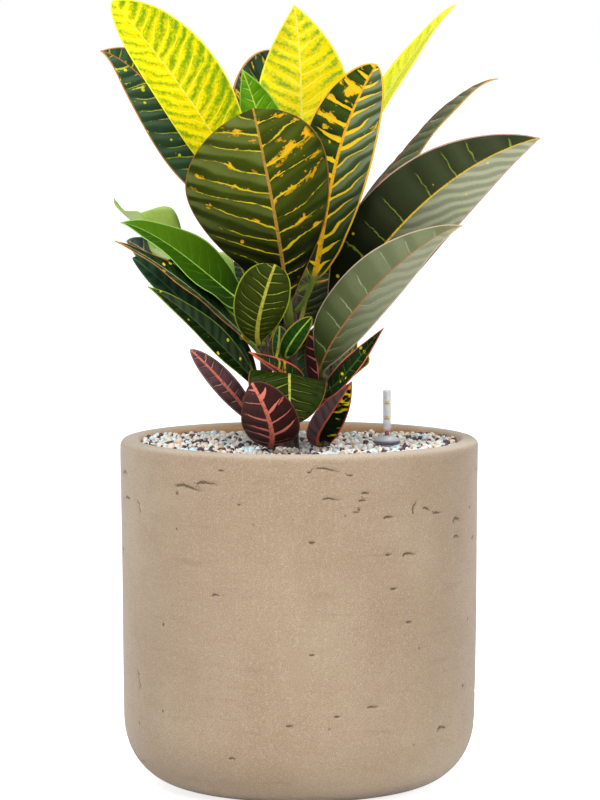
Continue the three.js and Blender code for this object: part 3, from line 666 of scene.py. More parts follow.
def leaf_blade(stem, leaf, look, seed):
    """A leaf's points, faces and the values its skin needs. Across the midrib each side folds and curls up
    from it, ripples with the square of the way out, and swells between the side veins as a half sine wave."""
    half = np.broadcast_to(leaf["half"], 2)
    stalk_radius = 0.9 + 0.025 * half.max()
    length = leaf_curve(stem, leaf, stalk_radius, np.array([0.0, 1.0]))[2]
    rows = int(np.clip(length / row_step, *row_limits))
    columns = 2 * int(np.clip(half.max() / column_step, *column_limits))
    u = np.linspace(0, 1, rows + 1)
    path, along, length = leaf_curve(stem, leaf, stalk_radius, u)
    # The frame on the midrib: along it, up from the leaf's face, and across.
    up_base, up_tip = unit(np.broadcast_to(np.array(leaf["up"], float), (2, 3)))
    up = up_base + (up_tip - up_base) * u[:, None]
    up = unit(up - along * np.sum(up * along, 1)[:, None])
    across = np.cross(along, up)
    g = np.linspace(-1, 1, columns + 1)
    s = (np.sign(g) * np.abs(g) ** column_power)[None]
    hand = (s >= 0).astype(int)
    sign = np.where(hand, 1.0, -1.0)

    def by_hand(key):
        """A measure of the leaf on each point's own side of the midrib."""
        return np.broadcast_to(leaf[key], 2)[hand]

    # Half width at b, the share of the blade's own length.
    b = np.clip((u - leaf["stalk"]) / (1 - leaf["stalk"]), 0, 1)[:, None]
    bare = 1 - ease(0, stalk_ease, b)
    outline = []
    for p, q in (shapes[name] for name in np.broadcast_to(leaf["shape"], 2)):
        widest = p / (p + q)
        outline.append((b / widest) ** p * ((1 - b) / (1 - widest)) ** q)
    width = stalk_radius * bare + by_hand("half") * np.where(hand, outline[1], outline[0])
    reach = np.abs(s) * np.maximum(width, tip_half)
    # Fold, curl, the edge's wave and the swelling between the veins lift the skin off a flat blade.
    folded = ease(0, fold_ease, b)
    fold = np.radians(by_hand("fold")) * folded
    curl = np.radians(by_hand("curl")) * folded * np.abs(s)
    lean = fold + 0.5 * curl
    chord = reach * np.sinc(0.5 * curl / np.pi)
    wave_height, wave_count, wave_start = leaf["wave"]
    swing = np.sin(2 * np.pi * (wave_count * b + wave_start + 0.3 * hand))
    ripple = wave_height * s * s * swing * ease(0, 0.2, b) * (1 - ease(0.8, 1, b))
    blade_length = length * (1 - leaf["stalk"])
    veins = by_hand("veins")
    wander = 0.12 * np.sin(2.1 * veins * b + 2.4 * hand + seed) + 0.06 * np.sin(5 * veins * b + seed)
    slant = by_hand("slant") * reach / blade_length * (1 + 0.25 * np.abs(s))
    vein = veins * (b - slant) + wander + 0.5 * hand
    swell = look["relief"] * (np.abs(np.sin(np.pi * vein)) - 0.5) * np.clip(width / 12, 0.15, 1)
    swell *= ease(0.02, 0.22, np.abs(s)) * ease(1, 0.72, np.abs(s)) * ease(0.03, 0.2, b) * ease(1, 0.9, b)
    rise_up = chord * np.sin(lean) + ripple + swell
    middle = path[:, None] + across[:, None] * (sign * chord * np.cos(lean))[..., None]
    middle = middle + up[:, None] * rise_up[..., None]
    tilt = np.where(s == 0, 0, fold + curl)
    normal = up[:, None] * np.cos(tilt)[..., None] - across[:, None] * (sign * np.sin(tilt))[..., None]
    # The skin's two sides, with the midrib's ridge, closed at both ends.
    stalk_thickness = 2 * stalk_radius * np.sqrt(1 - 0.85 * s * s)
    thickness = blade_thickness * (1 - 0.55 * s ** 6) * (1 - bare) + stalk_thickness * bare
    ridge = (1 - bare) * (1 - b) ** 0.7 * np.exp(-(reach / (0.9 + 0.02 * width)) ** 2)
    upper = middle + normal * (0.5 * thickness + look["ridge"] * ridge)[..., None]
    under = middle - normal * (0.5 * thickness + rib_depth * ridge)[..., None]
    points = np.concatenate([upper, under[:, ::-1]], 1).reshape(-1, 3)
    around = 2 * (columns + 1)
    faces = ring_quads(rows + 1, around, False)[:, ::-1].tolist()
    first = np.arange(columns)
    cap = np.stack([first, first + 1, around - 2 - first, around - 1 - first], 1)
    faces += cap.tolist() + (cap[:, ::-1] + rows * around).tolist()
    edge = np.maximum(width, tip_half) * (1 - np.abs(s))
    both = {"vein": vein, "rib": sign * reach, "edge": edge, "along": b + 0 * s}
    values = {key: np.concatenate([value, value[:, ::-1]], 1) for key, value in both.items()}
    values["face"] = np.concatenate([np.ones_like(vein), np.zeros_like(vein)], 1)
    return points, faces, values


# The skin's colours, laid over each other in this order: ground, with painted shade at the leaf's foot, on
# the vein flanks and in the grooves; mottling between the veins; a grey tint that paints the sheen of light,
# and on the two-tone leaf also a real purple half; flushes along the veins, spots, veins, underside, midrib,
# margin and stalk.
skin_inputs = dict.fromkeys(("Ground", "Foot", "Hollow", "Mottle", "Flush", "Bloom", "Vein", "Rib", "Margin",
                             "Underside", "Stalk"), "Color")
skin_inputs |= dict.fromkeys(("Foot share", "Groove", "Mottle left", "Mottle right", "Flush left",
                              "Flush right", "Bloom left", "Bloom right", "Vein width", "Vein whole",
                              "Vein share", "Rib width", "Margin width", "Spots", "Underside share", "Seed"),
                             "Float")
skin, given, shown = new_group("croton skin", skin_inputs,
                               {"Colour": "Color", "Roughness": "Float", "Height": "Float"})


def by_side(name):
    """An amount that differs on the two sides of the midrib."""
    left, other = given[name + " left"], given[name + " right"]
    return left + right * (other - left)


def dice(vector):
    """A random number from 0 to 1 for each vector."""
    return Amount(node(skin, "TexWhiteNoise", {"Vector": vector}, noise_dimensions="3D").outputs["Value"])


def brightened(colour, value):
    """A colour with its brightness times a value."""
    return node(skin, "HueSaturation", {"Value": value, "Color": colour}).outputs[0]


at = place(skin)
rib, edge, along, face = (attribute(skin, key) for key in ("rib", "edge", "along", "face"))
out = abs(rib)
right = calc("GREATER_THAN", rib, 0.0)
share_out = out / (out + edge + 0.01)
straight_vein = attribute(skin, "vein")
vein = straight_vein + (noise(at, 190.0) - 0.5) * 0.2
apart = calc("PINGPONG", vein, 0.5)
own = node(skin, "CombineXYZ", {0: calc("FLOOR", vein + 0.5), 1: right, 2: given["Seed"]}).outputs[0]
vein_luck = dice(own)
further = node(skin, "VectorMath", {0: own, 1: (3.3, 5.7, 1.9)}, operation="ADD").outputs[0]
vein_reach = dice(further) * 0.35 + 0.7
flow = node(skin, "CombineXYZ", {0: vein + right * 9.0, 1: out * 0.05, 2: given["Seed"]}).outputs[0]
streak = noise(flow, 2.4, 4.0, 0.62)
fine = noise(at, 620.0, 4.0, 0.65)
coarse = noise(at, 60.0, 2.0)
# The ground is darker at the leaf's foot, as painted shade where the leaf meets the stem; painted shade also
# darkens one flank of each vein and its groove, as if light fell from above; and the ground is darker towards
# the margin.
foot = given["Foot share"] * rise(along, 0.75, 0.0)
colour = mix(foot, given["Ground"], given["Foot"])
turned = calc("SINE", straight_vein * (2 * math.pi))
net_cells = node(skin, "TexVoronoi", {"Vector": at, "Scale": 420.0}, feature="DISTANCE_TO_EDGE")
net = rise(Amount(net_cells.outputs["Distance"]), 0.0, 0.12)
to_margin = given["Groove"] * rise(share_out, 0.5, 1.0)
# The brightness is lowered by painted shade on one flank of each vein, as if light fell from above onto the
# swelling skin, and lowered towards the margin.
value = coarse * 0.36 + 0.76 + net * 0.07 - given["Groove"] * turned * 0.2 - to_margin * 0.3
# Painted shade darkens the groove beside each vein towards the hollow colour.
groove = given["Groove"] * rise(calc("PINGPONG", straight_vein, 0.5), 0.34, 0.0) * rise(share_out, 1.0, 0.7)
shade = mix(groove, brightened(colour, value), given["Hollow"])
between = apart * 0.5 + share_out * 0.12
mottle_at = fine * 0.6 + streak * 0.5 + between + by_side("Mottle") * 0.42
colour = mix(rise(mottle_at, 0.84, 1.16), shade, given["Mottle"])
colour = mix(rise(mottle_at, 1.06, 1.3) * 0.55, colour, brightened(given["Mottle"], 0.5))
hollow = rise(turned + (fine * 0.8 + streak * 0.9), 0.0, 1.7)
# The grey tint laid over the skin here is a painted sheen of light. It is kept off the shaded flank of each
# vein and off the leaf's foot. On the two-tone leaf it is also the real purple of its left half.
bloom = (1.0 - hollow * given["Groove"]) * by_side("Bloom") * (1.0 - foot) * (fine * 0.5 + 0.75)
colour = mix(bloom, colour, given["Bloom"])
flush_at = streak + (0.5 - apart) * 0.34 + fine * 0.16 + (vein_luck - 0.5) * 0.16 + by_side("Flush") * 0.4
flush_at = flush_at - rise(along, 0.75, 0.1) * 0.2
colour = mix(rise(flush_at, 0.9, 0.98) * rise(share_out, 0.97, 0.85), colour, given["Flush"])
spot_at, spot_luck = cells(at, 230.0)
colour = mix(rise(spot_at, 0.3, 0.17) * rise(spot_luck + given["Spots"], 0.98, 1.0), colour, given["Flush"])
taper = rise(share_out / vein_reach, 1.05, 0.2)
vein_half = given["Vein width"] * taper * (vein_luck + 0.4) * (streak * 1.6 + 0.2)
broken = rise(streak + vein_luck * 0.25, 0.45, 0.55) * (1.0 - given["Vein whole"]) + given["Vein whole"]
vein_share = (1.0 - rise(apart - vein_half, 0.0, 0.03)) * rise(taper, 0.0, 0.25)
vein_share = vein_share * (broken * given["Vein share"])
colour = mix(vein_share, colour, given["Vein"])
lower_side = 1.0 - face
colour = mix(lower_side * given["Underside share"], colour, given["Underside"])
rib_share = 1.0 - rise(out - given["Rib width"] * (1.05 - along * 0.7), 0.0, 0.35)
colour = mix(rib_share, colour, mix(rise(fine, 0.5, 0.62) * 0.5, given["Rib"], colour))
margin_share = 1.0 - rise(edge - given["Margin width"] * (coarse + 0.5), 0.0, 0.35)
colour = mix(margin_share * rise(given["Margin width"], 0.0, 0.1), colour, given["Margin"])
colour = mix(rise(along, 0.05, 0.0), colour, given["Stalk"])
feed(shown, {"Colour": colour, "Roughness": fine * 0.16 + 0.36 + lower_side * 0.15,
             "Height": fine * 0.5 - vein_share * 0.6})

# Each look says only what differs from the plain dark leaf. An amount in sides is for the left and the right
# of the midrib.
# In a look, the foot colour and share paint shade at the leaf's foot, groove and hollow paint shade on one
# flank of each vein and in its groove, and the grey tint with its two side amounts paints the sheen of light
# on the glossy skin, and on the two-tone leaf also the real purple of its left half.
dark_leaf = dict(ground="1f3d20", foot="1c3012", foot_share=0.0, hollow="0d1a06", groove=0.5,
                 mottle="1f3d20", mottle_sides=-1.0, flush="d6c81e", flush_sides=-0.2, spots=0.0,
                 bloom="8f9a86", bloom_sides=0.0, vein="8a9c2a", vein_width=0.03, vein_whole=0.4,
                 vein_share=1.0, rib="a8b03c", rib_width=0.7, margin="9a8436", margin_width=0.5,
                 underside="8d9c78", underside_share=0.6, stalk="6f7f34", relief=0.9, ridge=0.15,
                 gloss=0.07)
looks = {
    "golden": dict(ground="f6df04", hollow="f6df04", groove=0.0, mottle="86a80e", mottle_sides=(0.48, 0.68),
        flush="f4ea30", vein="f8e62c", vein_width=0.09, vein_whole=1.0, rib="f4ea52", margin="f0e636",
        margin_width=0.6, underside="dfe07a", relief=0.6),
    "golden_blue": dict(ground="f6df08", hollow="f6df08", groove=0.0, mottle="8cae2a",
        mottle_sides=(0.5, 0.45), flush="f4ea30", vein="f8e83c", vein_width=0.1, vein_whole=1.0,
        rib="f2ea66", margin="ece43a", margin_width=0.9, underside="dfe07a", relief=0.6),
    "lemon": dict(ground="dcdc30", groove=0.0, mottle="a4ba2c", mottle_sides=0.4, vein="d6e05c",
        rib="dbe08c", margin="ecea2c", margin_width=2.2, underside="cdd86a", relief=0.4),
    "fresh": dict(ground="5c9206", hollow="447a04", mottle="528806", mottle_sides=0.1, vein="93c052",
        vein_width=0.05, rib="cbd44c", rib_width=0.5, margin="8ab444", underside="a9c27c", relief=0.4),
    "teal_gold": dict(ground="1c3a22", hollow="0c2012", flush="d9d31c", flush_sides=0.24, spots=0.3,
        bloom="5c7658", bloom_sides=0.35, vein="b9c22a", vein_width=0.04, vein_whole=0.0, vein_share=0.7,
        rib="b8783c", margin="c28a48"),
    "teal_amber": dict(ground="1a3224", flush="e4ba1e", flush_sides=0.36, bloom="4c6650", bloom_sides=0.4,
        rib="b8783c", margin="c28a48", margin_width=0.8),
    "amber_veined": dict(ground="30440a", foot="1e3206", foot_share=1.1, groove=0.8, flush="e2b41a",
        flush_sides=(0.46, 0.26), bloom="7a886a", bloom_sides=(0.0, 0.8), vein="e6c01a", vein_width=0.12,
        vein_whole=0.8, rib="dfa81a", rib_width=1.35, margin="d9a824", margin_width=0.8, relief=1.3),
    "olive_gold": dict(ground="3a4600", foot="0e1400", foot_share=1.3, hollow="262f00", groove=1.0,
        flush="d0980c", flush_sides=(0.46, 0.34), spots=0.08, bloom="6c7638", bloom_sides=(0.16, 0.65),
        vein="c9b416", vein_whole=0.15, rib="a87f34", rib_width=0.9, margin="8a5f2c", underside_share=0.0,
        relief=2.4),
    "smoke": dict(ground="4d5a40", hollow="3a4630", bloom="7d866c", bloom_sides=(0.0, 0.7), vein="b4b88c",
        rib="c44c34", rib_width=0.9, margin="c8963c", margin_width=0.8, relief=0.6),
    "deep": dict(ground="1c440f", vein="5f8f2a", vein_share=0.3, rib="a9c23c", rib_width=0.6),
    "olive_lime": dict(ground="2b3a04", hollow="121b00", groove=0.8, vein="7f9136", vein_width=0.02,
        rib="c9c85a", rib_width=0.75, margin="a2703e", margin_width=0.35),
    "coral_streak": dict(ground="24381c", flush="e0a02c", flush_sides=0.4, rib="d8604a", margin="c8624a",
        margin_width=0.6),
    "bright": dict(ground="325a02", foot="1a3400", foot_share=1.0, groove=0.0, bloom="6c991a",
        bloom_sides=(0.0, 0.4), vein="74ab28", vein_share=0.25, rib="9ac454", rib_width=0.4,
        margin="94c25e", underside="bccba2", underside_share=0.85, relief=0.25),
    "pale_lime": dict(ground="a4bf5c", groove=0.0, vein="a8c866", vein_share=0.7, rib="b8cf88",
        margin="a9c874", underside="c3d0a8", relief=0.4),
    "grass": dict(ground="2c5c06", groove=0.2, vein="5f9620", rib="7fae3c", margin="7fae3c", relief=0.4),
    "orange_edge": dict(ground="182c08", flush="e0c022", spots=0.3, bloom="6f7f62", bloom_sides=(0.2, 0.0),
        vein="3a4a14", rib="98a486", rib_width=0.4, margin="c07a34", margin_width=0.3),
    "slate": dict(ground="26382f", bloom="647470", bloom_sides=0.3, rib="b08c86", margin="6f7f6a"),
    "teal": dict(ground="1c3420", bloom="3e5a44", bloom_sides=0.4, vein="2f4a2f", vein_share=0.4,
        rib="4a6048", margin="4c6640", margin_width=0.3),
    "night": dict(ground="0c1d05", flush="d8cf24", spots=0.35, bloom="4c5f44", bloom_sides=(0.0, 0.3),
        vein="24400e", rib="44542c", rib_width=0.3, margin="7d9128", margin_width=0.25),
    "olive_veined": dict(ground="2d3800", foot="1c2602", foot_share=0.5, hollow="1c2602", groove=0.8,
        flush="c9b42a", flush_sides=(0.05, -0.2), vein="7f8c2c", vein_width=0.035, vein_whole=0.8,
        rib="aaa23c", rib_width=1.2, margin="8f9a24", margin_width=0.45, underside_share=0.0, relief=0.7),
    "teal_lime": dict(ground="25503c", vein="6f9a5c", rib="c9c83e"),
    "mauve": dict(ground="5c4246", hollow="44302f", flush="de7c64", flush_sides=0.1, vein="b88a86",
        vein_width=0.04, rib="de7c64", rib_width=1.1, margin="8c6a68", underside="7c6466", relief=0.6),
    "maroon": dict(ground="3c201d", hollow="2a1210", flush="d06a5c", flush_sides=0.26, bloom="5e4746",
        bloom_sides=(0.0, 0.45), vein="e08070", vein_width=0.09, vein_whole=0.8, rib="e07c6a",
        rib_width=1.5, margin="6a3c34", underside_share=0.0),
    "forest_grey": dict(ground="343c22", foot="0c1300", foot_share=1.35, hollow="121a06", groove=0.4,
        flush="d8c41e", spots=0.12, bloom="979a80", bloom_sides=(0.02, 1.0), vein="8b9a30", vein_width=0.01,
        vein_share=0.6, rib="c8a62a", margin="b08e7c", margin_width=0.6),
    "sage": dict(ground="525d2c", foot="2c3c0a", foot_share=1.0, hollow="4b5a28", groove=0.28,
        bloom="93957f", bloom_sides=(0.4, 0.95), vein="a9b18c", vein_width=0.012, vein_share=0.6,
        rib="a56c40", rib_width=0.5, margin="b7a48c", relief=0.7),
    "coral_tip": dict(ground="14290f", flush="d8cf24", spots=0.4, vein_share=0.3, rib="3f5a24",
        margin="c8604a", margin_width=0.4),
    "two_tone": dict(ground="0e1c05", flush="dcc226", flush_sides=(-0.4, 0.62), bloom="5f4a4e",
        bloom_sides=(1.4, 0.0), vein_share=0.0, rib="d8604a", rib_width=0.8, margin="b5503e",
        margin_width=0.4),
    "moss": dict(ground="4f5f42", bloom="808c74", bloom_sides=0.5),
    "dark": dict(flush_sides=0.02),
}
# Each leaf says only what differs from the plain one: its height on the stem, look, outline, the bare share
# of its length, half width, fold and curl in degrees, side veins and their slant, the edge's wave (height,
# count, start), the way points of its midrib and which way its face looks, from base to tip. A pair is for
# the left and the right of the midrib.
plain_leaf = dict(shape="oval", stalk=0.1, fold=12, curl=4, veins=12, slant=0.5, wave=(0.5, 2, 0),
                  up=(0, -0.4, 0.9))
leaves = {
    "main": [
        dict(at=293, look="golden", shape=("oval", "full"), half=(25, 25.5), fold=(27, 26), curl=(0, 6),
             veins=22, wave=(1.5, 1.6, 0.2), way=((-16, 4, 316), (-63, -2, 393), (-104, 4, 438)),
             up=(0.4, -0.9, 0.25)),
        dict(at=297, look="teal_gold", shape="pointed", stalk=0.08, half=(23, 25), fold=(10, 25), curl=5,
             veins=17, slant=0.4, wave=(1.5, 2, 0), way=((-42, 25, 327), (-79, 34, 402), (-112, 40, 410)),
             up=((0, -0.95, 0.3), (0.1, -0.8, 0.6))),
        dict(at=298, look="teal_amber", shape="round", stalk=0.12, half=(22, 24), fold=8, curl=5, veins=14,
             wave=(1, 2, 0), way=((-17, 40, 343), (-25, 58, 382), (-8, 66, 407)), up=(0, -1, 0.3)),
        dict(at=300, look="golden_blue", shape="pointed", half=(26, 29), fold=10, veins=17, slant=0.45,
             wave=(2, 2, 0.3), way=((1, 30, 332), (4, 44, 395), (-3, 40, 436)), up=(0, -1, 0.2)),
        dict(at=301, look="fresh", shape="pointed", half=(13, 15), fold=15, veins=14, slant=0.6,
             wave=(0.6, 2, 0), way=((-11, 12, 333), (-21, 16, 373), (-32, 18, 400)), up=(0.1, -1, 0.1)),
        dict(at=266, look="amber_veined", stalk=0.16, half=22, fold=(15, 28), curl=5, veins=13,
             slant=(0.1, 0.85), wave=(1.5, 2, 0), way=((18, -20, 285), (8, -22, 350), (43, -4, 403)),
             up=(0, -1, 0.05)),
        dict(at=258, look="olive_gold", shape=("round", "spoon"), stalk=0.16, half=(35, 47), fold=8,
             curl=14, slant=0.35, wave=(1.5, 1.5, 0),
             way=((-7, -42, 289), (-15, -88, 337), (-25, -65, 380)), up=((0, 0.5, 0.85), (0, 0.9, -0.45))),
        dict(at=294, look="lemon", stalk=0.12, half=(13, 20), fold=10, veins=16, slant=0.9,
             wave=(0.6, 2, 0), way=((17, 30, 327), (54, 40, 404), (88, 40, 436)),
             up=((-0.7, -0.45, 0.55), (-0.8, -0.25, 0.55))),
        dict(at=282, look="smoke", shape="lance", half=(16, 20), fold=-8, curl=-4, veins=15, slant=0.6,
             wave=(0.6, 3, 0), way=((25, 44, 299), (76, 60, 392), (113, 62, 394)), up=(-0.7, -0.2, 0.68)),
        dict(at=240, look="deep", half=6, fold=15, curl=0, veins=8, slant=0.6, wave=(0.3, 2, 0),
             way=((-10, -12, 240), (-6, -18, 250), (7, -20, 264)), up=(0, -1, 0.2)),
        dict(at=205, look="olive_lime", shape="spoon", half=(21, 23), fold=(-4, -12), curl=(-4, -8),
             veins=14, slant=0.25, wave=(0.8, 1.5, 0), way=((-5, -24, 223), (-6, -46, 259), (-5, -42, 206)),
             up=((0.1, 0, 1), (0.1, -1, 0.2))),
        dict(at=222, look="coral_streak", shape="lance", half=(3, 7), fold=5, veins=9, wave=(0.4, 1.5, 0),
             way=((6, -16, 224), (-4, -27, 231), (-28, -26, 245)), up=(0.3, -0.9, 0.2)),
        dict(at=288, look="olive_veined", stalk=0.12, half=26, curl=6, veins=14, slant=0.4,
             wave=(1.5, 2, 0), way=((-8, 45, 315), (-12, 85, 352), (-15, 110, 372)), up=(0, -0.5, 0.85)),
        dict(at=276, look="teal_gold", stalk=0.12, half=20, curl=6, slant=0.4, wave=(1, 2, 0),
             way=((22, 40, 288), (46, 76, 312), (58, 98, 322))),
        dict(at=268, look="teal_amber", stalk=0.12, half=20, curl=6, slant=0.4, wave=(1, 2, 0),
             way=((-24, 42, 300), (-44, 80, 330), (-55, 108, 345))),
        dict(at=245, look="olive_veined", stalk=0.12, half=19, curl=6, slant=0.4, wave=(1, 2, 0),
             way=((4, 45, 262), (7, 85, 285), (10, 112, 290)), up=(0, -0.3, 0.95)),
        dict(at=205, look="dark", half=12, fold=10, veins=10, slant=0.4,
             way=((-1, 28, 216), (-6, 50, 242), (-9, 60, 267))),
    ],
    "left": [
        dict(at=266, look="bright", shape="lance", stalk=0.08, half=(19, 15), fold=20, curl=6, slant=0.7,
             wave=(1, 2, 0), way=((-43, -9, 277), (-72, -12, 310), (-99, -16, 316)), up=(0, -0.6, 0.8)),
        dict(at=266, look="pale_lime", shape="pointed", half=(6, 13), fold=(20, 25), curl=6, veins=14,
             wave=(10, 2.1, 0.52), way=((-45, 14, 288), (-106, 18, 317), (-103.5, 14, 328)),
             up=(0, -0.5, 0.85)),
        dict(at=254, look="grass", half=10, fold=15, veins=9, slant=0.6,
             way=((-33, -5, 259), (-52, -6, 278), (-70, -6, 293)), up=(0, -0.6, 0.8)),
        dict(at=243, look="orange_edge", shape="lance", stalk=0.08, half=(8, 9), fold=10, slant=0.8,
             wave=(0.5, 3, 0), way=((-41, -24, 266), (-77, -33, 297), (-101, -40, 307)),
             up=(0, -0.45, 0.9)),
        dict(at=246, look="slate", half=(13, 14), fold=10, slant=0.6,
             way=((-45, 14, 258), (-78, 22, 296), (-97, 20, 304)), up=(0, -0.7, 0.7)),
        dict(at=228, look="teal", stalk=0.08, half=(8, 14), fold=10, slant=0.6, wave=(0.6, 2, 0),
             way=((-38, -18, 245), (-70, -24, 281), (-92, -24, 297)), up=(0, -0.8, 0.6)),
        dict(at=222, look="night", shape="lance", stalk=0.08, half=(9, 8), slant=0.7, wave=(0.4, 2, 0),
             way=((-33, -28, 238), (-60, -41, 270), (-83, -40, 282)), up=(0, -0.7, 0.7)),
        dict(at=248, look="olive_veined", shape="round", stalk=0.18, half=(14, 16), fold=6, curl=8,
             veins=13, slant=0.35, way=((-26, -45, 249), (-23, -80, 270), (-13, -70, 296)),
             up=((0, 0.5, 0.85), (0, 0.9, -0.3))),
        dict(at=236, look="teal_lime", half=(4, 6), fold=10, curl=0, veins=6, slant=0.6, wave=(0, 1, 0),
             way=((-12, -4, 240), (-11, -5, 250), (-11, -5, 258)), up=(0, -1, 0.2)),
        dict(at=198, look="mauve", half=7, fold=15, veins=9, wave=(0.4, 2, 0),
             way=((-30, -20, 214), (-47, -30, 235), (-60, -34, 247)), up=(0, -1, 0.2)),
        dict(at=191.5, look="maroon", stalk=0.06, half=16, fold=6, curl=6, veins=7, wave=(0.4, 2, 0),
             way=((-15, -34, 192), (-11, -58, 206), (-26, -60, 231)), up=((0, 0.3, 0.95), (0, 0.95, 0.1))),
        dict(at=238, look="dark", half=14, slant=0.4, wave=(0.6, 2, 0),
             way=((-24, 35, 256), (-28, 70, 278), (-36, 96, 288))),
        dict(at=222, look="orange_edge", half=10, fold=10, veins=9,
             way=((-33, 14, 239), (-46, 30, 252), (-58, 44, 264))),
    ],
    "right": [
        dict(at=247, look="forest_grey", shape="lance", half=(26, 34), fold=15, curl=5, veins=(9, 12),
             slant=(0.02, 1.5), wave=(0.6, 2, 0), way=((20, -14, 272), (66, -40, 347), (132, -30, 363)),
             up=(-0.25, -0.85, 0.45)),
        dict(at=230, look="sage", shape=("lance", "pointed"), stalk=0.05, half=(19, 21), veins=(8, 11),
             slant=(0.05, 1.5), way=((7, -36, 246), (56, -62, 308), (88, -70, 317)),
             up=((-0.4, -0.85, 0.3), (-0.1, -0.7, 0.7))),
        dict(at=223, look="coral_tip", shape="lance", half=(7, 8), fold=20, veins=10, slant=0.6,
             wave=(0.4, 2, 0), way=((14, -40, 218), (32, -50, 242), (46, -50, 260)), up=(-0.45, -0.8, 0.4)),
        dict(at=191.5, look="two_tone", shape="lance", stalk=0.04, half=(9, 11), fold=(30, 25), veins=8,
             slant=0.6, wave=(0.4, 2, 0), way=((6, -14, 196), (19, -19, 210), (29, -20, 228)),
             up=(0, -1, 0.2)),
        dict(at=212, look="moss", half=(8, 4), fold=10, curl=0, veins=8, wave=(0.4, 2, 0),
             way=((24, -6, 226), (26, -11, 238), (32, -13, 250)), up=(-0.2, -0.9, 0.4)),
        dict(at=236, look="dark", half=14, veins=11, slant=0.4,
             way=((24, 30, 250), (34, 58, 268), (42, 82, 276))),
        dict(at=222, look="deep", half=9, veins=9, way=((23, 12, 228), (31, 24, 233), (36, 38, 239))),
        dict(at=204, look="maroon", half=8, veins=8, wave=(0.3, 2, 0),
             way=((15, 16, 214), (10, 29, 232), (8, 34, 254))),
    ],
}
seed = 0
for stem_name, grown in leaves.items():
    for number, leaf in enumerate(grown, 1):
        seed += 1
        leaf = {**plain_leaf, **leaf}
        look = {**dark_leaf, **looks[leaf["look"]]}
        for key in ("mottle", "flush", "bloom"):
            look[key + "_left"], look[key + "_right"] = np.broadcast_to(look[key + "_sides"], 2).tolist()
        look["seed"] = 3.7 * seed
        cad_node = f"leaf_{stem_name}_{number:02d}"
        points, faces, values = leaf_blade(stems[stem_name], leaf, look, seed)
        material, tree, shader = new_material(leaf["look"] + " leaf")
        inputs = {key: look[key.lower().replace(" ", "_")] for key in skin_inputs}
        made = node(tree, "Group", inputs, node_tree=skin)
        feed(shader, {"Base Color": made.outputs["Colour"], "Roughness": made.outputs["Roughness"],
                      "Specular IOR Level": look["gloss"]})
        bump(shader, made.outputs["Height"], 0.0004, 0.5)
        add_piece(f"{stem_name}_leaf_{number:02d}", points, faces, material,
                  nodes=[cad_node], values=values)


# The water gauge: a moulded housing in the granules, a domed collar plugged into it, and a clear sight tube
# in the collar's socket. The float's rod lifts a red pointer in the tube, past two yellow ticks.
housing_bore = 4.6
housing_floor = 3.0
housing_top = collar_foot - seat
inlet_radius = 1.6
slot_width = 1.6
slot_height = 24.0
collar_height = 4.6
collar_edge = 1.0
collar_top = collar_foot + collar_height
dome_sweep = math.radians(60)
collar_bore = 1.6
spigot_length = 6.0
spigot_radius = housing_bore - seat
socket_floor = collar_top - 3.0
sight_radius = 2.4
sight_bore = 1.6
sight_foot = socket_floor + seat
sight_top = 221.5
sight_crown = 1.2
sight_bevel = 0.5
socket_radius = sight_radius + seat
float_radius = 3.9
float_foot = housing_foot + housing_floor + seat
float_top = float_foot + 26.0
rod_radius = 1.0
pointer_radius = 1.25
pointer_top = 198.4
pointer_foot = pointer_top - 2.2
tick_heights = (206.0, 214.5)
tick_steps = 13
housing_lilac = "a9a6b4"
collar_lilac = "d2cfda"
collar_shade = "6d687c"
tube_clear = "f4f4f8"
float_red = "b8361c"
tick_yellow = "e2bb1e"


def softened(profile, radius=0.25, steps=3):
    """A profile whose corners are cut back by up to the radius and rounded along a quadratic curve."""
    profile = np.asarray(profile, float)
    closed = np.allclose(profile[0], profile[-1])
    points = profile[:-1] if closed else profile
    made = [] if closed else [points[0]]
    for i in range(0 if closed else 1, len(points) if closed else len(points) - 1):
        corner = points[i]
        before, after = points[i - 1] - corner, points[(i + 1) % len(points)] - corner
        a = corner + before * min(0.45, radius / np.linalg.norm(before))
        b = corner + after * min(0.45, radius / np.linalg.norm(after))
        for t in np.linspace(0, 1, steps + 1):
            made.append((1 - t) ** 2 * a + 2 * (1 - t) * t * corner + t * t * b)
    made.append(made[0] if closed else points[-1])
    return np.array(made)


def gauge_piece(name, profile, material, body="potted_plant"):
    """Turns a softened profile about the gauge's own upright axis."""
    points, faces = lathe(softened(profile), gauge_sides)
    points[:, :2] += gauge_at
    return add_piece(name, points, faces, material, body=body, nodes=["gauge_" + name])


def moulded(name, code, roughness, foot=None):
    """Moulded plastic: one colour with faint cloudy flow marks and a fine skin, and a darker foot of painted
    shade if one is given."""
    material, tree, shader = new_material(name)
    at = place(tree)
    cloud = noise(at, 140.0)
    colour = mix(cloud, darker(code, 0.78), code)
    if foot:
        # The bottom of the collar, where it sits in the granules, is darkened with painted shade.
        colour = mix(rise(height_at(at), 0.1938, 0.1926), colour, foot)
    feed(shader, {"Base Color": colour, "Roughness": spread(cloud, roughness - 0.05, roughness + 0.08)})
    bump(shader, noise(at, 1400.0), 0.00005)
    return material


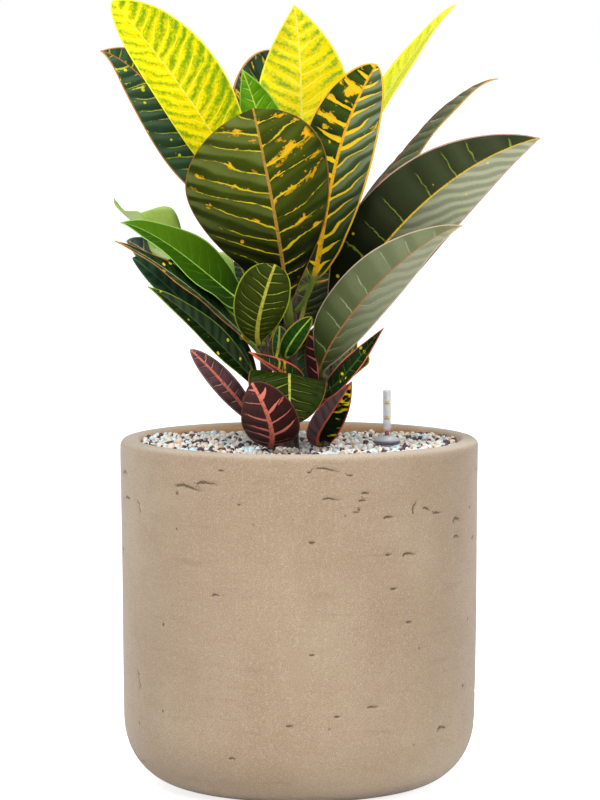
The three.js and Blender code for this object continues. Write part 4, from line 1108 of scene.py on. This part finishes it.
housing = gauge_piece("housing", [
    (inlet_radius, housing_foot), (housing_radius, housing_foot), (housing_radius, housing_top),
    (housing_bore, housing_top), (housing_bore, housing_foot + housing_floor),
    (inlet_radius, housing_foot + housing_floor), (inlet_radius, housing_foot),
], moulded("lilac plastic", housing_lilac, 0.3))
slot_half = np.array([1.5 * housing_radius, 0.5 * slot_width, 0.5 * slot_height])
for order in ([0, 1, 2], [1, 0, 2]):
    corners = lattice[np.all(lattice != 0, axis=1)] * slot_half[order]
    corners += [*gauge_at, housing_foot + 2 * housing_floor + slot_half[2]]
    quads = [(0, 1, 3, 2), (4, 6, 7, 5), (0, 4, 5, 1), (2, 3, 7, 6), (0, 2, 6, 4), (1, 5, 7, 3)]
    cut_out(housing, "water slot", corners, quads)

dome = [(socket_radius + (collar_radius - socket_radius) * math.cos(a) ** 1.5,
         collar_foot + collar_edge + (collar_height - collar_edge) * math.sin(a))
        for a in np.linspace(0, dome_sweep, 14)]
gauge_piece("collar", [
    (collar_bore, collar_foot - spigot_length), (spigot_radius, collar_foot - spigot_length),
    (spigot_radius, collar_foot), (collar_radius, collar_foot), *dome, (socket_radius + 0.4, collar_top),
    (socket_radius, collar_top), (socket_radius, socket_floor), (collar_bore, socket_floor),
    (collar_bore, collar_foot - spigot_length),
], moulded("collar plastic", collar_lilac, 0.18, foot=collar_shade))

clear_material, tree, shader = new_material("clear plastic")
at = place(tree)
# The tube is all but clear up to the pointer's rest, and above it a milky haze shows.
feed(shader, {"Base Color": tube_clear, "Alpha": spread(height_at(at), 0.03, 0.5, 0.1985, 0.2005),
              "Roughness": spread(noise(at, 300.0), 0.15, 0.3)})
gauge_piece("sight_tube", [
    (0, sight_top - sight_crown), (sight_bore, sight_top - sight_crown), (sight_bore, sight_foot),
    (sight_radius, sight_foot), (sight_radius, sight_top - sight_bevel),
    (sight_radius - sight_bevel, sight_top), (0, sight_top),
], clear_material)

gauge_piece("float", [
    (0, float_foot), (float_radius, float_foot), (float_radius, float_top), (rod_radius, float_top),
    (rod_radius, pointer_foot), (pointer_radius, pointer_foot), (pointer_radius, pointer_top),
    (0, pointer_top),
], moulded("red plastic", float_red, 0.35), body="gauge_float")

# The ticks are printed on the tube's front: thin curved patches, each a closed skin just proud of the tube.
# Each tick height has a wide mark below it and a narrower one above.
print_foot, print_top = sight_radius - 0.02, sight_radius + 0.05
points, faces = [], []
for level in tick_heights:
    for low, high, wide in ((-0.8, 0.1, 38), (0.5, 0.9, 26)):
        turn = np.radians(np.linspace(-90 - wide, -90 + wide, tick_steps))
        ring = [np.stack([r * np.cos(turn), r * np.sin(turn), np.full(tick_steps, level + z)], 1)
                for r, z in ((print_foot, low), (print_top, low), (print_top, high), (print_foot, high))]
        start = sum(len(p) for p in points)
        points.append(np.stack(ring, 1).reshape(-1, 3))
        last = start + 4 * tick_steps - 1
        faces += (ring_quads(tick_steps, 4, False)[:, ::-1] + start).tolist()
        faces += [[start, start + 1, start + 2, start + 3], [last, last - 1, last - 2, last - 3]]
points = np.vstack(points)
points[:, :2] += gauge_at
add_piece("ticks", points, faces, moulded("yellow print", tick_yellow, 0.5))


# The stage: a wide pale floor under soft studio light, and the camera 2.4 m in front of the pot, level with
# the topmost leaves and looking a little down.
floor_half = 30000.0
floor_drop = 0.0005
floor_glow = 0.8
soft_light = 0.42
light_aim = np.array([0, 0, 0.26])
camera_place = (0.0004, -2.4, 0.434)
camera_dip = 5.19
floor_material, tree, shader = new_material("pale floor")
glow = Amount(node(tree, "LightPath").outputs["Is Camera Ray"]) * floor_glow
feed(shader, {"Base Color": (0.85, 0.85, 0.85, 1), "Roughness": 0.9, "Emission Color": (1, 1, 1, 1),
              "Emission Strength": glow})
corners = np.array([(-1, -1, 0), (1, -1, 0), (1, 1, 0), (-1, 1, 0)]) * floor_half
floor_mesh = new_mesh("floor", corners, [(0, 1, 2, 3)])
floor_mesh.materials.append(floor_material)
floor = new_object("floor", floor_mesh)
floor.location.z = -floor_drop
floor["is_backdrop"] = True

world = bpy.data.worlds.new("studio")
world.use_nodes = True
tree = world.node_tree
tree.nodes.clear()
around = node(tree, "Background", {"Color": (1, 1, 1, 1), "Strength": soft_light})
seen = node(tree, "Background", {"Color": (1, 1, 1, 1), "Strength": 1.0})
ray = node(tree, "LightPath").outputs["Is Camera Ray"]
both = node(tree, "MixShader", {0: ray, 1: around.outputs[0], 2: seen.outputs[0]})
node(tree, "OutputWorld", {"Surface": both.outputs[0]})
bpy.context.scene.world = world

for name, location, size, watts in (
    ("key light", (-0.9, -1.3, 2.1), 0.8, 41),
    ("fill light", (1.4, -2.1, 0.9), 1.2, 21),
    ("top light", (0.5, 0.3, 2.2), 1.2, 24),
):
    lamp = bpy.data.lights.new(name, "AREA")
    lamp.size = size
    lamp.energy = watts
    light = new_object(name, lamp)
    light.location = location
    x, y, z = unit(light_aim - np.array(location))
    light.rotation_euler = (math.acos(-z), 0, math.atan2(y, x) - math.pi / 2)

camera_data = bpy.data.cameras.new("camera")
camera_data.sensor_width = 36
camera_data.lens = 194.1
camera_data.clip_end = 100
camera = new_object("camera", camera_data)
camera.location = camera_place
camera.rotation_euler = (math.radians(90 - camera_dip), 0, 0)
bpy.context.scene.camera = camera
bpy.context.scene.view_settings.view_transform = "Standard"

low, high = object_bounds()
